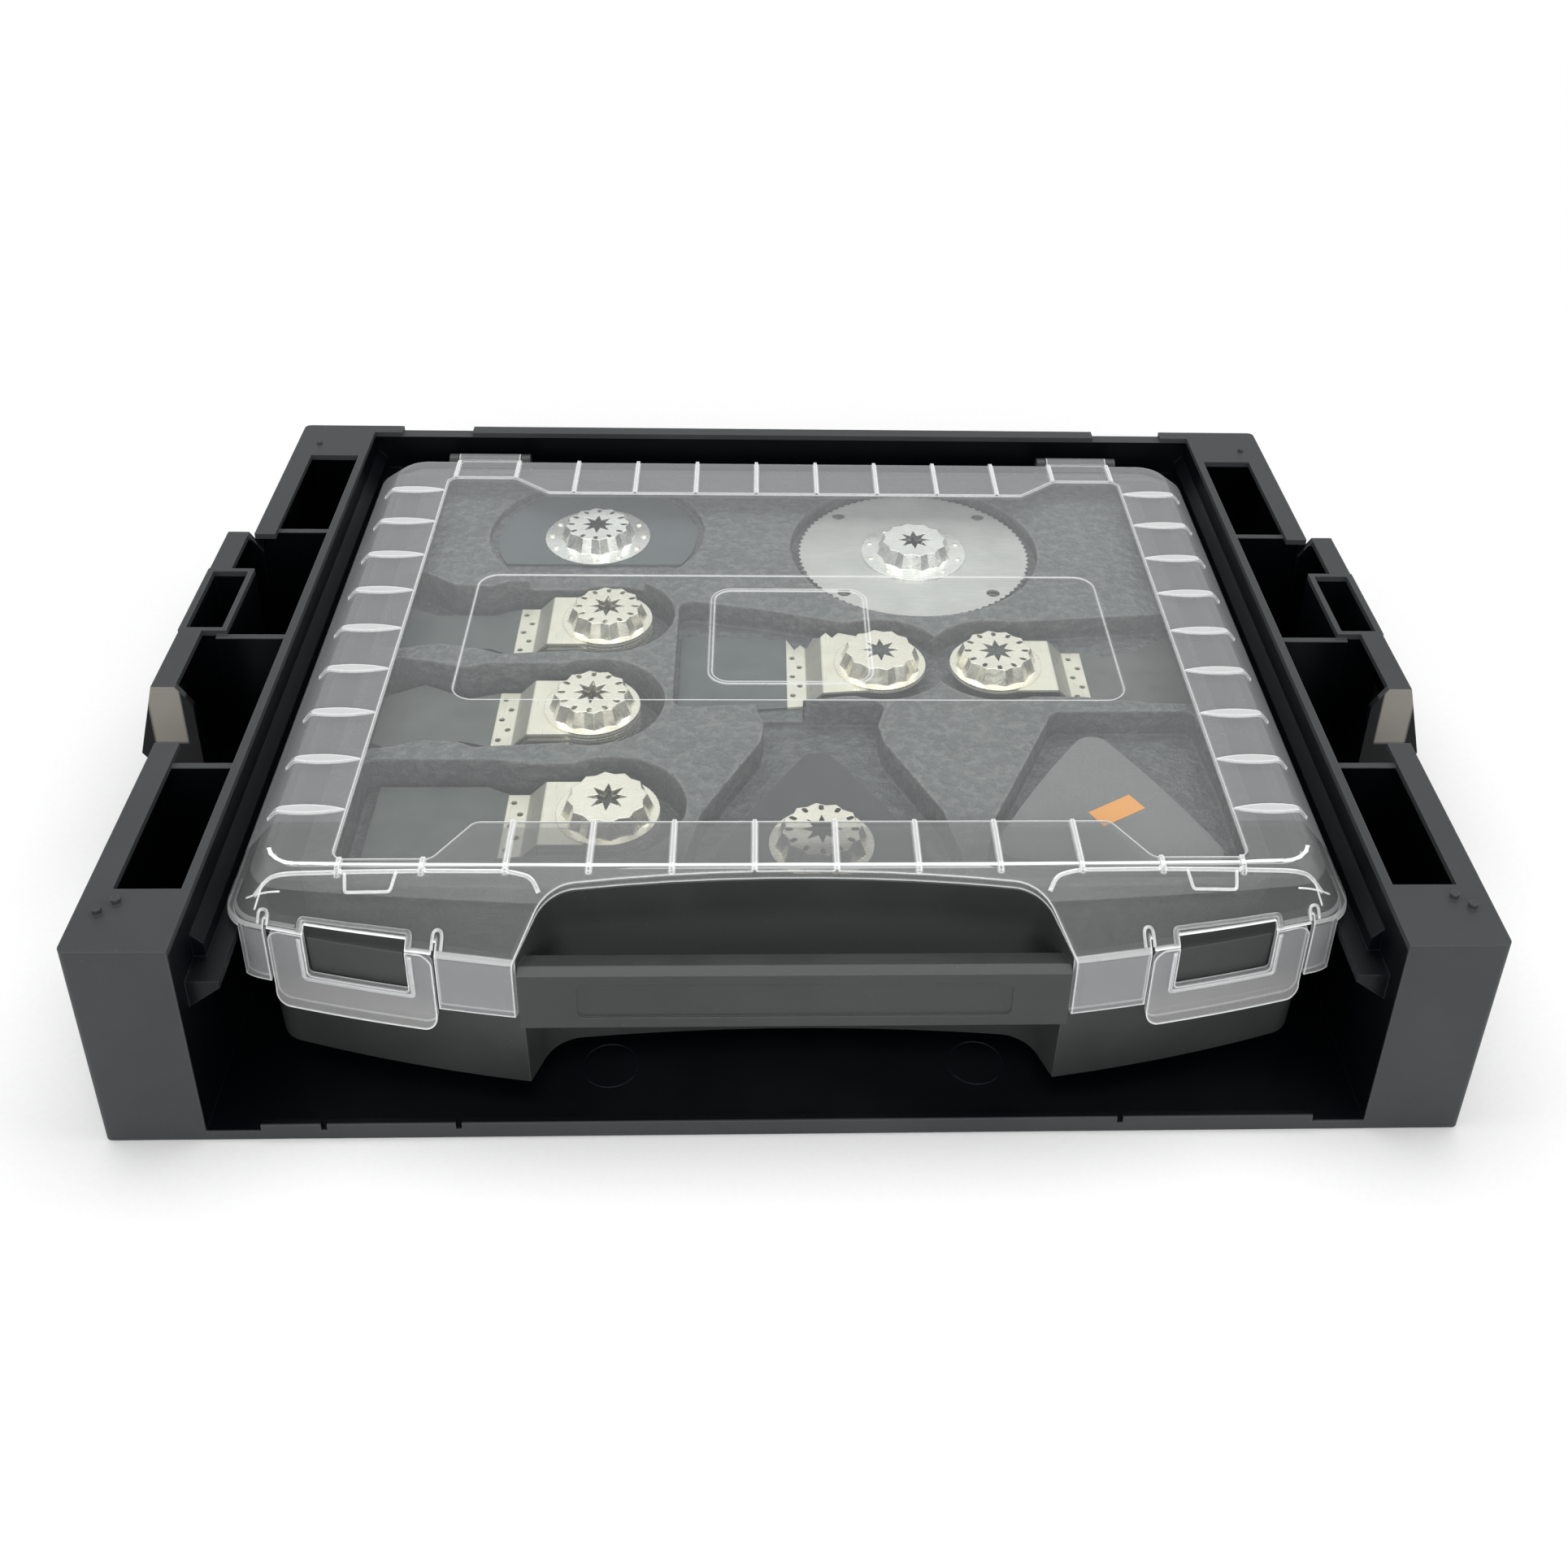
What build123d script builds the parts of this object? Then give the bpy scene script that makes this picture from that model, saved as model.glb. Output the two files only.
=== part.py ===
"""Saw blade storage case hung in its open-front stacking rack.

Millimetres, +Z up, origin at the bottom centre of the rack, front face toward -Y.
"""
from build123d import *
import os
from functools import partial
from math import cos, pi, radians, sin, sqrt, tan

# ------------------------------------------------------------------ driving dimensions
# Rack
rack_width = 442.0
rack_depth = 338.0
rack_height = 82.0
half_width = rack_width / 2
half_depth = rack_depth / 2
rack_wall = 3.0
rack_floor = 3.5
rack_corner = 5.0
side_channel_width = 32.5
bay_half = half_width - side_channel_width
front_pillar_depth = 27.5
rear_pillar_depth = 28.5
flange_width = 8.5
rear_flange_width = 6.0
flange_thickness = 2.5
front_flange_end = -half_depth + 101.0
rear_flange_end = half_depth - 97.0
low_wall_height = 28.0
channel_rib_spacing = 78.0
channel_rib_thickness = 2.5
channel_rib_drop = 2.0
rear_notch_inner = half_width - 77.0
rear_notch_outer = half_width - 45.0
rear_notch_depth = 2.2
front_lip_height = 6.2
front_lip_thickness = 2.6
front_lip_half_width = bay_half - 17.5
lip_notch_width = 2.0
lip_notch_positions = (20.0 - front_lip_half_width, -108.0, 107.0)
peg_diameter = 3.0
peg_height = 2.0
peg_places = ((half_width - 7.1, -half_depth + 17.0), (half_width - 11.5, -half_depth + 21.5))

# Case rails inside the rack bay
rail_top = rack_height - 20.3
rail_reach = bay_half - 10.5
rail_thickness = 2.7
rail_front = -half_depth + 8.0
guide_reach = bay_half - 3.8
guide_height = 5.3
guide_slope = 4.0
guide_front = -half_depth + 19.0
rail_gusset = 8.0

# Side grips of the rack
grip_front = -35.5
grip_rear = 73.5
grip_top_inner = half_width + 2.5
grip_top_outer = half_width + 11.0
grip_reach = half_width + 19.0
grip_reach_height = rack_height - 30.0
grip_wall = 2.5
grip_pocket_front = 3.0
grip_pocket_rear = 43.0
grip_pocket_outer = grip_reach - 10.0
grip_pocket_inner = half_width - 6.7
grip_pocket_floor = rack_height - 40.0
grip_pocket_wall = 2.0

# Case envelope
rim_half_width = bay_half - 5.5
case_rear = half_depth - 13.0
case_bottom = 8.0
case_top = rack_height - 2.0
front_arc_reach = half_depth - 3.6
front_arc_radius = 634.0
case_corner = 14.0
rim_underside = rail_top + 0.3
rim_thickness = 1.8
rim_gap = 0.5
lid_kink = case_top - 14.0
lid_top_half_width = rim_half_width - 11.5
lid_top_front = -front_arc_reach + 36.9
lid_top_rear = case_rear - 17.0
lid_top_corner = 12.0
lid_wall = 2.2
lid_ceiling_drop = 2.6
lid_top_round = 4.0
lid_kink_round = 3.0
lid_least_round = 0.8
front_skirt_bottom = rim_underside - 18.5
skirt_half_width = rim_half_width - 5.6

# Lid relief
panel_recess = 0.9
panel_half_width = lid_top_half_width - 22.5
panel_front = lid_top_front + 3.0
panel_rear = lid_top_rear - 14.0
ridge_front = lid_top_front + 21.0
ridge_rear = lid_top_rear - 27.0
ridge_front_half = lid_top_half_width - 65.5
ridge_front_foot = ridge_front_half + 11.4
ridge_rear_half = lid_top_half_width - 67.5
ridge_rear_foot = ridge_rear_half + 16.0
label_half_width = panel_half_width - 24.5
label_front = -38.5
label_rear = 46.0
label_corner = 8.0
label_depth = 0.4
frame_half_width = 31.0
frame_front = -28.4
frame_rear = 36.2
frame_corner = 8.0
frame_line = 1.4
rib_height = 0.7
rib_pitch = 26.6
rib_line = 1.4
rib_front_count = 12
side_rib_pitch = 26.8
side_rib_rear = lid_top_rear - 26.2
side_rib_count = 9
side_rib_length = 26.0
side_rib_width = 4.2
side_rib_center = rim_half_width - 20.5

# Handle recess in the front
arch_top = -front_arc_reach + 34.4
arch_shoulder = arch_top - 4.3
arch_half_width = 79.6
arch_flare_y = -front_arc_reach - 6.6
arch_flare_half = 93.3
arch_corner = 14.0
arch_wall = 2.0

# Base tub
tub_front = -front_arc_reach + 10.4
tub_wall = 2.5
tub_draft = 2.0
tub_half_width = rim_half_width - 10.5
tub_rear = case_rear - 7.0
tub_corner = 10.0
tub_shoulder_y = -front_arc_reach + 32.9
tub_front_arc_y = -front_arc_reach + 5.2
handle_half_width = 87.2
handle_front = -front_arc_reach + 5.4
handle_rear = handle_front + 9.3
handle_bottom = rim_underside - 22.3
handle_front_top = rim_underside
handle_crest_y = handle_front + 3.5
handle_crest = rim_underside + 1.0
handle_wall = 2.8
cheek_front = -front_arc_reach + 10.0
cheek_overlap = 1.0
handle_label_half = 69.0
handle_label_bottom = rim_underside - 18.0
handle_label_top = rim_underside - 4.0
handle_label_depth = 0.6

# Latches
tab_outer = rim_half_width - 14.5
tab_inner = tab_outer - 55.5
tab_slit = 1.0
tab_bottom = rim_underside - 27.0
tab_gap = 0.3
tab_lip_top = tab_bottom + 4.0
tab_lip_reach = 1.6
tab_corner = 4.5
window_corner = 1.4
window_inner = tab_inner + 9.5
window_outer = tab_outer - 13.0
window_bottom = tab_bottom + 14.0
window_top = lid_kink + 2.0
catch_gap = 0.3
catch_side_gap = 0.8
catch_lean = 0.8
catch_top = rim_underside + 2.0
catch_depth = 7.0

# Hinges
hinge_y = case_rear - 1.5
hinge_z = case_top - 8.5
hinge_radius = 3.5
hinge_outer = rim_half_width - 29.5
hinge_inner = hinge_outer - 36.5
hinge_lug = 4.0
hinge_side_gap = 0.4
hinge_pin_radius = 1.25
hinge_pin_clearance = 0.05
hinge_relief = 0.7

# Tray
tray_left = -tub_half_width + 10.5
tray_right = tub_half_width - 12.0
tray_front = tub_shoulder_y + 4.5
tray_rear = tub_rear - 6.0
tray_top = case_top - 10.0
tray_corner = 12.0
layout_width = 322.5
layout_depth = 271.0
layout_center = (-0.75, 7.5)
tray_wall = 1.6
pocket_corner = 5.0
pocket_hub_margin = 9.2
pocket_round_margin = 3.5
seat_gap = 0.2

# Blades and their stamped mounts
mount_plane = case_top - 13.0
plate_thickness = 1.0
stack_pitch = 2.5
crank_drop = 6.0
crank_distance = 22.8
hub_flange_radius = 17.9
hub_large_flange_radius = 22.5
hub_sheet = 0.8
hub_cup_radius = 16.0
hub_cup_height = 6.2
hub_cup_taper = 21.0
hub_cup_side_wall = 0.5
hub_lobes = 12
hub_lobe_depth = 1.3
mount_hole_radius = 16.3
star_points = 8
star_outer_radius = 7.4
star_inner_radius = 3.4
hub_hole_circle = 11.2
hub_hole_length = 2.8
hub_hole_width = 1.7
rivet_circle = 19.8
rivet_radius = 1.4
rivet_height = 0.6

segment_size = 42.5
segment_chord = 21.5
round_size = 49.7
round_teeth = 90
round_tooth_depth = 1.2
round_hole_radius = 2.8
round_hole_margin = 5.7
neck_half_width = 16.6
strip_hole_reach = 32.6
strip_hole_offset = 1.4
strip_hole_pitch = 6.2
strip_hole_count = 5
strip_hole_radius = 1.1
pad_length = 84.0
pad_bulge = 2.0
pad_thickness = 9.0
pad_corner = 7.0
sheet_turn = -3.0
sheet_count = 6
sheet_thickness = 1.1
sheet_pitch = 1.4
label_size = (18.7, 8.6)
label_turn = 31.0
label_sheet = 0.2

# ------------------------------------------------------------------ derived places
bay_wall_outer = bay_half + rack_wall
outer_wall_inner = half_width - rack_wall
flange_inner = half_width - flange_width
rim_top = rim_underside + rim_thickness
lid_rim = rim_top + rim_gap
front_arc_center = front_arc_radius - front_arc_reach
tub_floor_top = case_bottom + tub_wall
skirt_clearance = lid_wall + 0.4
tub_rise = rim_underside - case_bottom
level_tolerance = 0.01
hub_cup_narrowing = hub_cup_height * tan(radians(hub_cup_taper))
cup_inner_radius = hub_cup_radius - hub_cup_side_wall
stretch_x = (tray_right - tray_left) / layout_width
stretch_y = (tray_rear - tray_front) / layout_depth
stretch = min(stretch_x, stretch_y)
tray_center = ((tray_left + tray_right) / 2, (tray_front + tray_rear) / 2)


def spot(x, y):
    """Place of an accessory, which keeps its share of the tray when the tray changes size."""
    return (
        tray_center[0] + (x - layout_center[0]) * stretch_x,
        tray_center[1] + (y - layout_center[1]) * stretch_y,
    )


def stretched(points):
    """Outline that grows and shrinks with the tray."""
    return [(x * stretch_x, y * stretch_y) for x, y in points]


segment_center = spot(-81.6, 95.0)
round_center = spot(54.5, 83.5)
rear_stack_hub = spot(-72.8, 31.1)
middle_stack_hub = spot(-74.2, -27.0)
front_stack_hub = spot(-63.9, -87.6)
wide_blade_hub = spot(35.2, 1.0)
scraper_hub = spot(80.6, 0.7)
pad_center = spot(9.4, -97.8)
pad_mount_center = spot(9.4, -104.5)
sheet_center = spot(108.8, -88.3)
label_center = spot(113.3, -87.0)
segment_radius = segment_size * stretch
segment_flat = segment_center[1] - segment_chord * stretch
round_radius = round_size * stretch
round_hole_circle = round_radius - round_hole_margin
pad_side = pad_length * stretch


def write(part, name):
    """Label one finished piece and write its STEP file."""
    part.label = name
    export_step(part, f"parts/{name}.step")


def slab(x_low, x_high, y_low, y_high, z_low, z_high, mode=Mode.ADD):
    """Add a box between two opposite corners to the part being built."""
    corner = (x_low, y_low, z_low)
    with Locations(corner):
        Box(x_high - x_low, y_high - y_low, z_high - z_low, align=(Align.MIN,) * 3, mode=mode)


def case_outline(inset, height):
    """Plan outline of the case rim: bowed front, straight sides and rear, round corners."""
    side = rim_half_width - inset
    rear = case_rear - inset
    radius = front_arc_radius - inset
    front_corner = front_arc_center - sqrt(radius**2 - side**2)
    with BuildSketch(Plane.XY.offset(height)) as outline:
        with BuildLine():
            ThreePointArc((-side, front_corner), (0, front_arc_center - radius), (side, front_corner))
            Polyline((side, front_corner), (side, rear), (-side, rear), (-side, front_corner))
        make_face()
        fillet(outline.vertices(), case_corner - inset)
    return outline.sketch


def lid_top_outline(inset, height):
    """Plan outline of the flat top of the lid."""
    side = lid_top_half_width - inset
    with BuildSketch(Plane.XY.offset(height)) as outline:
        with BuildLine():
            Polyline(
                (-side, lid_top_front + inset),
                (side, lid_top_front + inset),
                (side, lid_top_rear - inset),
                (-side, lid_top_rear - inset),
                close=True,
            )
        make_face()
        fillet(outline.vertices(), lid_top_corner - inset)
    return outline.sketch


def lid_mass(inset, drop, bottom):
    """Solid block with the outer form of the lid, moved inward and downward."""
    top = case_top - drop
    with BuildPart() as mass:
        loft([case_outline(inset, lid_kink), lid_top_outline(inset, top)])
        extrude(case_outline(inset, bottom), amount=lid_kink - bottom)
        for height, radius in ((top, lid_top_round), (lid_kink, lid_kink_round)):
            level_edges = mass.edges().filter_by(
                lambda edge: abs(edge.bounding_box().min.Z - height) < level_tolerance
                and abs(edge.bounding_box().max.Z - height) < level_tolerance
            )
            fillet(level_edges, max(radius - inset, lid_least_round))
    return mass.part


def arch_outline(outset, height):
    """Plan outline of the handle recess, open toward the front."""
    top_half = arch_half_width + outset
    flare = arch_flare_half + outset
    with BuildSketch(Plane.XY.offset(height)) as outline:
        with BuildLine():
            ThreePointArc(
                (-top_half, arch_shoulder + outset),
                (0, arch_top + outset),
                (top_half, arch_shoulder + outset),
            )
            Polyline(
                (top_half, arch_shoulder + outset),
                (flare, arch_flare_y),
                (-flare, arch_flare_y),
                (-top_half, arch_shoulder + outset),
            )
        make_face()
        fillet(outline.vertices().group_by(Axis.Y)[-1], arch_corner + outset)
    return outline.sketch


def tub_outline(inset, height):
    """Plan outline of the tub foot: bowed front, straight sides and rear."""
    side = tub_half_width - inset
    rear = tub_rear - inset
    with BuildSketch(Plane.XY.offset(height)) as outline:
        with BuildLine():
            ThreePointArc(
                (-side, tub_shoulder_y + inset),
                (0, tub_front_arc_y + inset),
                (side, tub_shoulder_y + inset),
            )
            Polyline(
                (side, tub_shoulder_y + inset),
                (side, rear),
                (-side, rear),
                (-side, tub_shoulder_y + inset),
            )
        make_face()
        fillet(outline.vertices(), tub_corner - inset)
    return outline.sketch


# ------------------------------------------------------------------ rack
def build_rack():
    """The moulded rack: one half is modelled, then mirrored."""
    with BuildPart() as rack:
        slab(0, half_width, -half_depth, half_depth, 0, rack_floor)
        slab(bay_half, bay_wall_outer, -half_depth, half_depth, 0, rack_height)
        slab(outer_wall_inner, half_width, -half_depth, half_depth, 0, low_wall_height)
        for start, end in ((-half_depth, front_flange_end), (rear_flange_end, half_depth)):
            slab(outer_wall_inner, half_width, start, end, 0, rack_height)
            slab(flange_inner, half_width, start, end, rack_height - flange_thickness, rack_height)
        # pillars, closed in front and on top, open toward the side channel
        slab(bay_half, half_width, -half_depth, -half_depth + rack_wall, 0, rack_height)
        slab(
            bay_half, half_width, -half_depth, -half_depth + front_pillar_depth,
            rack_height - rack_wall, rack_height,
        )
        slab(
            bay_half, half_width, half_depth - rear_pillar_depth, half_depth,
            rack_height - rack_wall, rack_height,
        )
        # rear wall with its flange
        slab(0, half_width, half_depth - rack_wall, half_depth, 0, rack_height)
        slab(
            0, bay_half, half_depth - rear_flange_width, half_depth,
            rack_height - flange_thickness, rack_height,
        )
        slab(
            rear_notch_inner, rear_notch_outer, half_depth - rear_flange_width, half_depth,
            rack_height - rear_notch_depth, rack_height, Mode.SUBTRACT,
        )
        # cross ribs of the side channel
        for rib_y in (-channel_rib_spacing, 0, channel_rib_spacing):
            slab(
                bay_wall_outer, outer_wall_inner,
                rib_y - channel_rib_thickness / 2, rib_y + channel_rib_thickness / 2,
                rack_floor, rack_height - channel_rib_drop,
            )
        # raised front lip of the floor
        slab(
            0, front_lip_half_width, -half_depth, -half_depth + front_lip_thickness,
            rack_floor, front_lip_height,
        )
        # case rail and its side guide
        with BuildSketch(Plane.XZ.offset(-rail_front)) as rail_profile:
            with BuildLine():
                Polyline(
                    (rail_reach, rail_top - rail_thickness),
                    (rail_reach, rail_top),
                    (bay_half, rail_top),
                    (bay_half, rail_top - rail_thickness - rail_gusset),
                    close=True,
                )
            make_face()
        extrude(amount=rail_front - (half_depth - rack_wall))
        with BuildSketch(Plane.XZ.offset(-guide_front)) as guide_profile:
            with BuildLine():
                Polyline(
                    (guide_reach, rail_top),
                    (guide_reach, rail_top + guide_height),
                    (bay_half, rail_top + guide_height + guide_slope),
                    (bay_half, rail_top),
                    close=True,
                )
            make_face()
        extrude(amount=guide_front - (half_depth - rack_wall))
        # side grip: a shell that leans outward below its top flange
        grip_toe = (half_width, low_wall_height - grip_wall)
        grip_knee = (grip_reach, grip_reach_height)
        with BuildSketch(Plane.XZ.offset(-grip_front)) as grip_profile:
            with BuildLine():
                Polyline(
                    (outer_wall_inner, low_wall_height - grip_wall),
                    grip_toe,
                    grip_knee,
                    (grip_top_outer, rack_height),
                    (grip_top_inner, rack_height),
                    (grip_top_inner, rack_height - grip_wall),
                    (grip_top_outer - grip_wall, rack_height - grip_wall),
                    (grip_reach - grip_wall, grip_reach_height),
                    (half_width, low_wall_height),
                    (outer_wall_inner, low_wall_height),
                    close=True,
                )
            make_face()
        extrude(amount=grip_front - grip_rear)
        for cap_front in (grip_front, grip_rear - grip_wall):
            with BuildSketch(Plane.XZ.offset(-cap_front)) as cap:
                with BuildLine():
                    Polyline(
                        (outer_wall_inner, low_wall_height - grip_wall),
                        grip_toe,
                        grip_knee,
                        (grip_top_outer, rack_height),
                        (grip_top_inner, rack_height),
                        (outer_wall_inner, rack_height - flange_width),
                        close=True,
                    )
                make_face()
            extrude(amount=-grip_wall)
        # open pocket in the grip
        pocket_reach = grip_pocket_outer + grip_wall
        slab(
            grip_pocket_inner, pocket_reach, grip_pocket_front - grip_pocket_wall,
            grip_pocket_rear + grip_pocket_wall, grip_pocket_floor - grip_pocket_wall, rack_height,
        )
        slab(
            grip_pocket_inner + grip_pocket_wall, grip_pocket_outer, grip_pocket_front,
            grip_pocket_rear, grip_pocket_floor, rack_height + 1, Mode.SUBTRACT,
        )
        # locating pegs on the front pillar
        for peg_x, peg_y in peg_places:
            with Locations((peg_x, peg_y, rack_height)):
                Cylinder(
                    peg_diameter / 2, peg_height,
                    align=(Align.CENTER, Align.CENTER, Align.MIN),
                )
        mirror(about=Plane.YZ)
        for notch_x in lip_notch_positions:
            slab(
                notch_x - lip_notch_width / 2, notch_x + lip_notch_width / 2,
                -half_depth, -half_depth + front_lip_thickness,
                rack_floor, front_lip_height, Mode.SUBTRACT,
            )
        corner_edges = rack.edges().filter_by(Axis.Z).filter_by(
            lambda edge: abs(abs(edge.center().X) - half_width) < 0.01
            and abs(abs(edge.center().Y) - half_depth) < 0.01
        )
        fillet(corner_edges, rack_corner / 2)
    return rack.part


# ------------------------------------------------------------------ case base
def build_base():
    """Tub with front handle, rim, recess wall, catches and hinge lugs."""
    inside_lid = lid_mass(skirt_clearance, lid_ceiling_drop + 0.4, rim_underside)
    with BuildPart() as envelope:
        extrude(tub_outline(0, case_bottom), amount=tub_rise, taper=-tub_draft)
        add(inside_lid)
    with BuildPart() as recess_wall:
        extrude(arch_outline(arch_wall, case_bottom), amount=case_top - case_bottom)
        extrude(arch_outline(0, case_bottom), amount=case_top - case_bottom, mode=Mode.SUBTRACT)
        add(envelope.part, mode=Mode.INTERSECT)
    with BuildPart() as base:
        extrude(tub_outline(0, case_bottom), amount=tub_rise, taper=-tub_draft)
        # rim: full width along the sides and the rear, inside the skirt at the front
        extrude(case_outline(skirt_clearance, rim_underside), amount=rim_thickness)
        with BuildSketch(Plane.XY.offset(rim_underside)) as rim:
            add(case_outline(0, 0))
            with Locations((0, tub_front)):
                Rectangle(
                    2 * rack_width, 2 * (tub_shoulder_y - tub_front + case_corner),
                    mode=Mode.SUBTRACT,
                )
        extrude(amount=rim_thickness)
        extrude(
            tub_outline(tub_wall, tub_floor_top),
            amount=rim_top - tub_floor_top, taper=-tub_draft, mode=Mode.SUBTRACT,
        )
        extrude(arch_outline(0, case_bottom), amount=case_top - case_bottom, mode=Mode.SUBTRACT)
        add(recess_wall.part)
        # handle bar: a channel open at the bottom
        with BuildSketch(Plane.YZ.offset(-handle_half_width)) as bar:
            with BuildLine():
                Polyline(
                    (handle_front, handle_bottom),
                    (handle_front, handle_front_top),
                    (handle_crest_y, handle_crest),
                    (handle_rear, handle_front_top),
                    (handle_rear, handle_bottom + handle_wall),
                    (handle_rear - handle_wall, handle_bottom + handle_wall),
                    (handle_rear - handle_wall, handle_front_top - handle_wall),
                    (handle_front + handle_wall, handle_front_top - handle_wall),
                    (handle_front + handle_wall, handle_bottom),
                    close=True,
                )
            make_face()
        extrude(amount=2 * handle_half_width)
        # ends of the bar run into the cheeks behind the lid skirt
        for side in (-1, 1):
            cheek_inner = side * (handle_half_width - handle_wall)
            cheek_outer = side * (arch_flare_half - cheek_overlap)
            slab(
                min(cheek_inner, cheek_outer), max(cheek_inner, cheek_outer),
                cheek_front, handle_rear, handle_bottom, rim_underside,
            )
        with BuildSketch(Plane.XZ.offset(-handle_front)) as label:
            with Locations((0, (handle_label_bottom + handle_label_top) / 2)):
                RectangleRounded(
                    2 * handle_label_half, handle_label_top - handle_label_bottom, 2.5,
                )
        extrude(amount=-handle_label_depth, mode=Mode.SUBTRACT)
        # hinge lugs behind the rear slope of the lid
        for side in (-1, 1):
            for lug_start in (hinge_inner, hinge_outer - hinge_lug):
                with BuildSketch(Plane.YZ.offset(side * lug_start)) as lug:
                    with BuildLine():
                        Polyline(
                            (hinge_y - hinge_radius, rim_underside),
                            (hinge_y - hinge_radius, hinge_z),
                            (hinge_y + hinge_radius, hinge_z),
                            (case_rear, rim_underside),
                            close=True,
                        )
                    make_face()
                    with Locations((hinge_y, hinge_z)):
                        Circle(hinge_radius)
                        Circle(hinge_pin_radius, mode=Mode.SUBTRACT)
                extrude(amount=side * hinge_lug)
    return base.part


def build_catch(side):
    """Catch nose that fills the window of one latch tab."""
    inner = window_inner + catch_side_gap
    outer = window_outer - catch_side_gap
    with BuildPart() as catch:
        front_low = lid_wall + catch_gap
        front_high = front_low - catch_lean
        low = window_bottom + catch_gap
        loft([case_outline(front_low, low), case_outline(front_high, catch_top)])
        extrude(
            case_outline(front_low + catch_depth, low), amount=catch_top - low, mode=Mode.SUBTRACT,
        )
        with BuildSketch(Plane.XY.offset(low)) as zone:
            with Locations((side * (inner + outer) / 2, tub_front)):
                Rectangle(outer - inner, 2 * (tub_shoulder_y - tub_front))
        extrude(amount=catch_top - low, mode=Mode.INTERSECT)
    return catch.part


# ------------------------------------------------------------------ case lid
def rib_plan():
    """Plan of every rib on the lid."""
    with BuildSketch() as ribs:
        for index in range(rib_front_count):
            rib_x = rib_pitch * (index - (rib_front_count - 1) / 2)
            on_ridge = abs(rib_x) < ridge_front_foot
            front_start = ridge_front if on_ridge else panel_front
            rear_start = ridge_rear if on_ridge else panel_rear
            front_end = lid_top_front - 3.0
            rear_end = lid_top_rear + 4.0
            with Locations((rib_x, (front_start + front_end) / 2)):
                Rectangle(rib_line, front_start - front_end)
            with Locations((rib_x, (rear_start + rear_end) / 2)):
                Rectangle(rib_line, rear_end - rear_start)
        with BuildSketch(mode=Mode.PRIVATE) as lens:
            with BuildLine():
                reach = side_rib_length / 2
                ThreePointArc((-reach, 0), (0, side_rib_width / 2), (reach, 0))
                ThreePointArc((-reach, 0), (0, -side_rib_width / 2), (reach, 0))
            make_face()
        for index in range(side_rib_count):
            rib_y = side_rib_rear - index * side_rib_pitch
            if rib_y > lid_top_front:
                for side in (-1, 1):
                    with Locations((side * side_rib_center, rib_y)):
                        add(lens.sketch)
    return ribs.sketch


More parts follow.
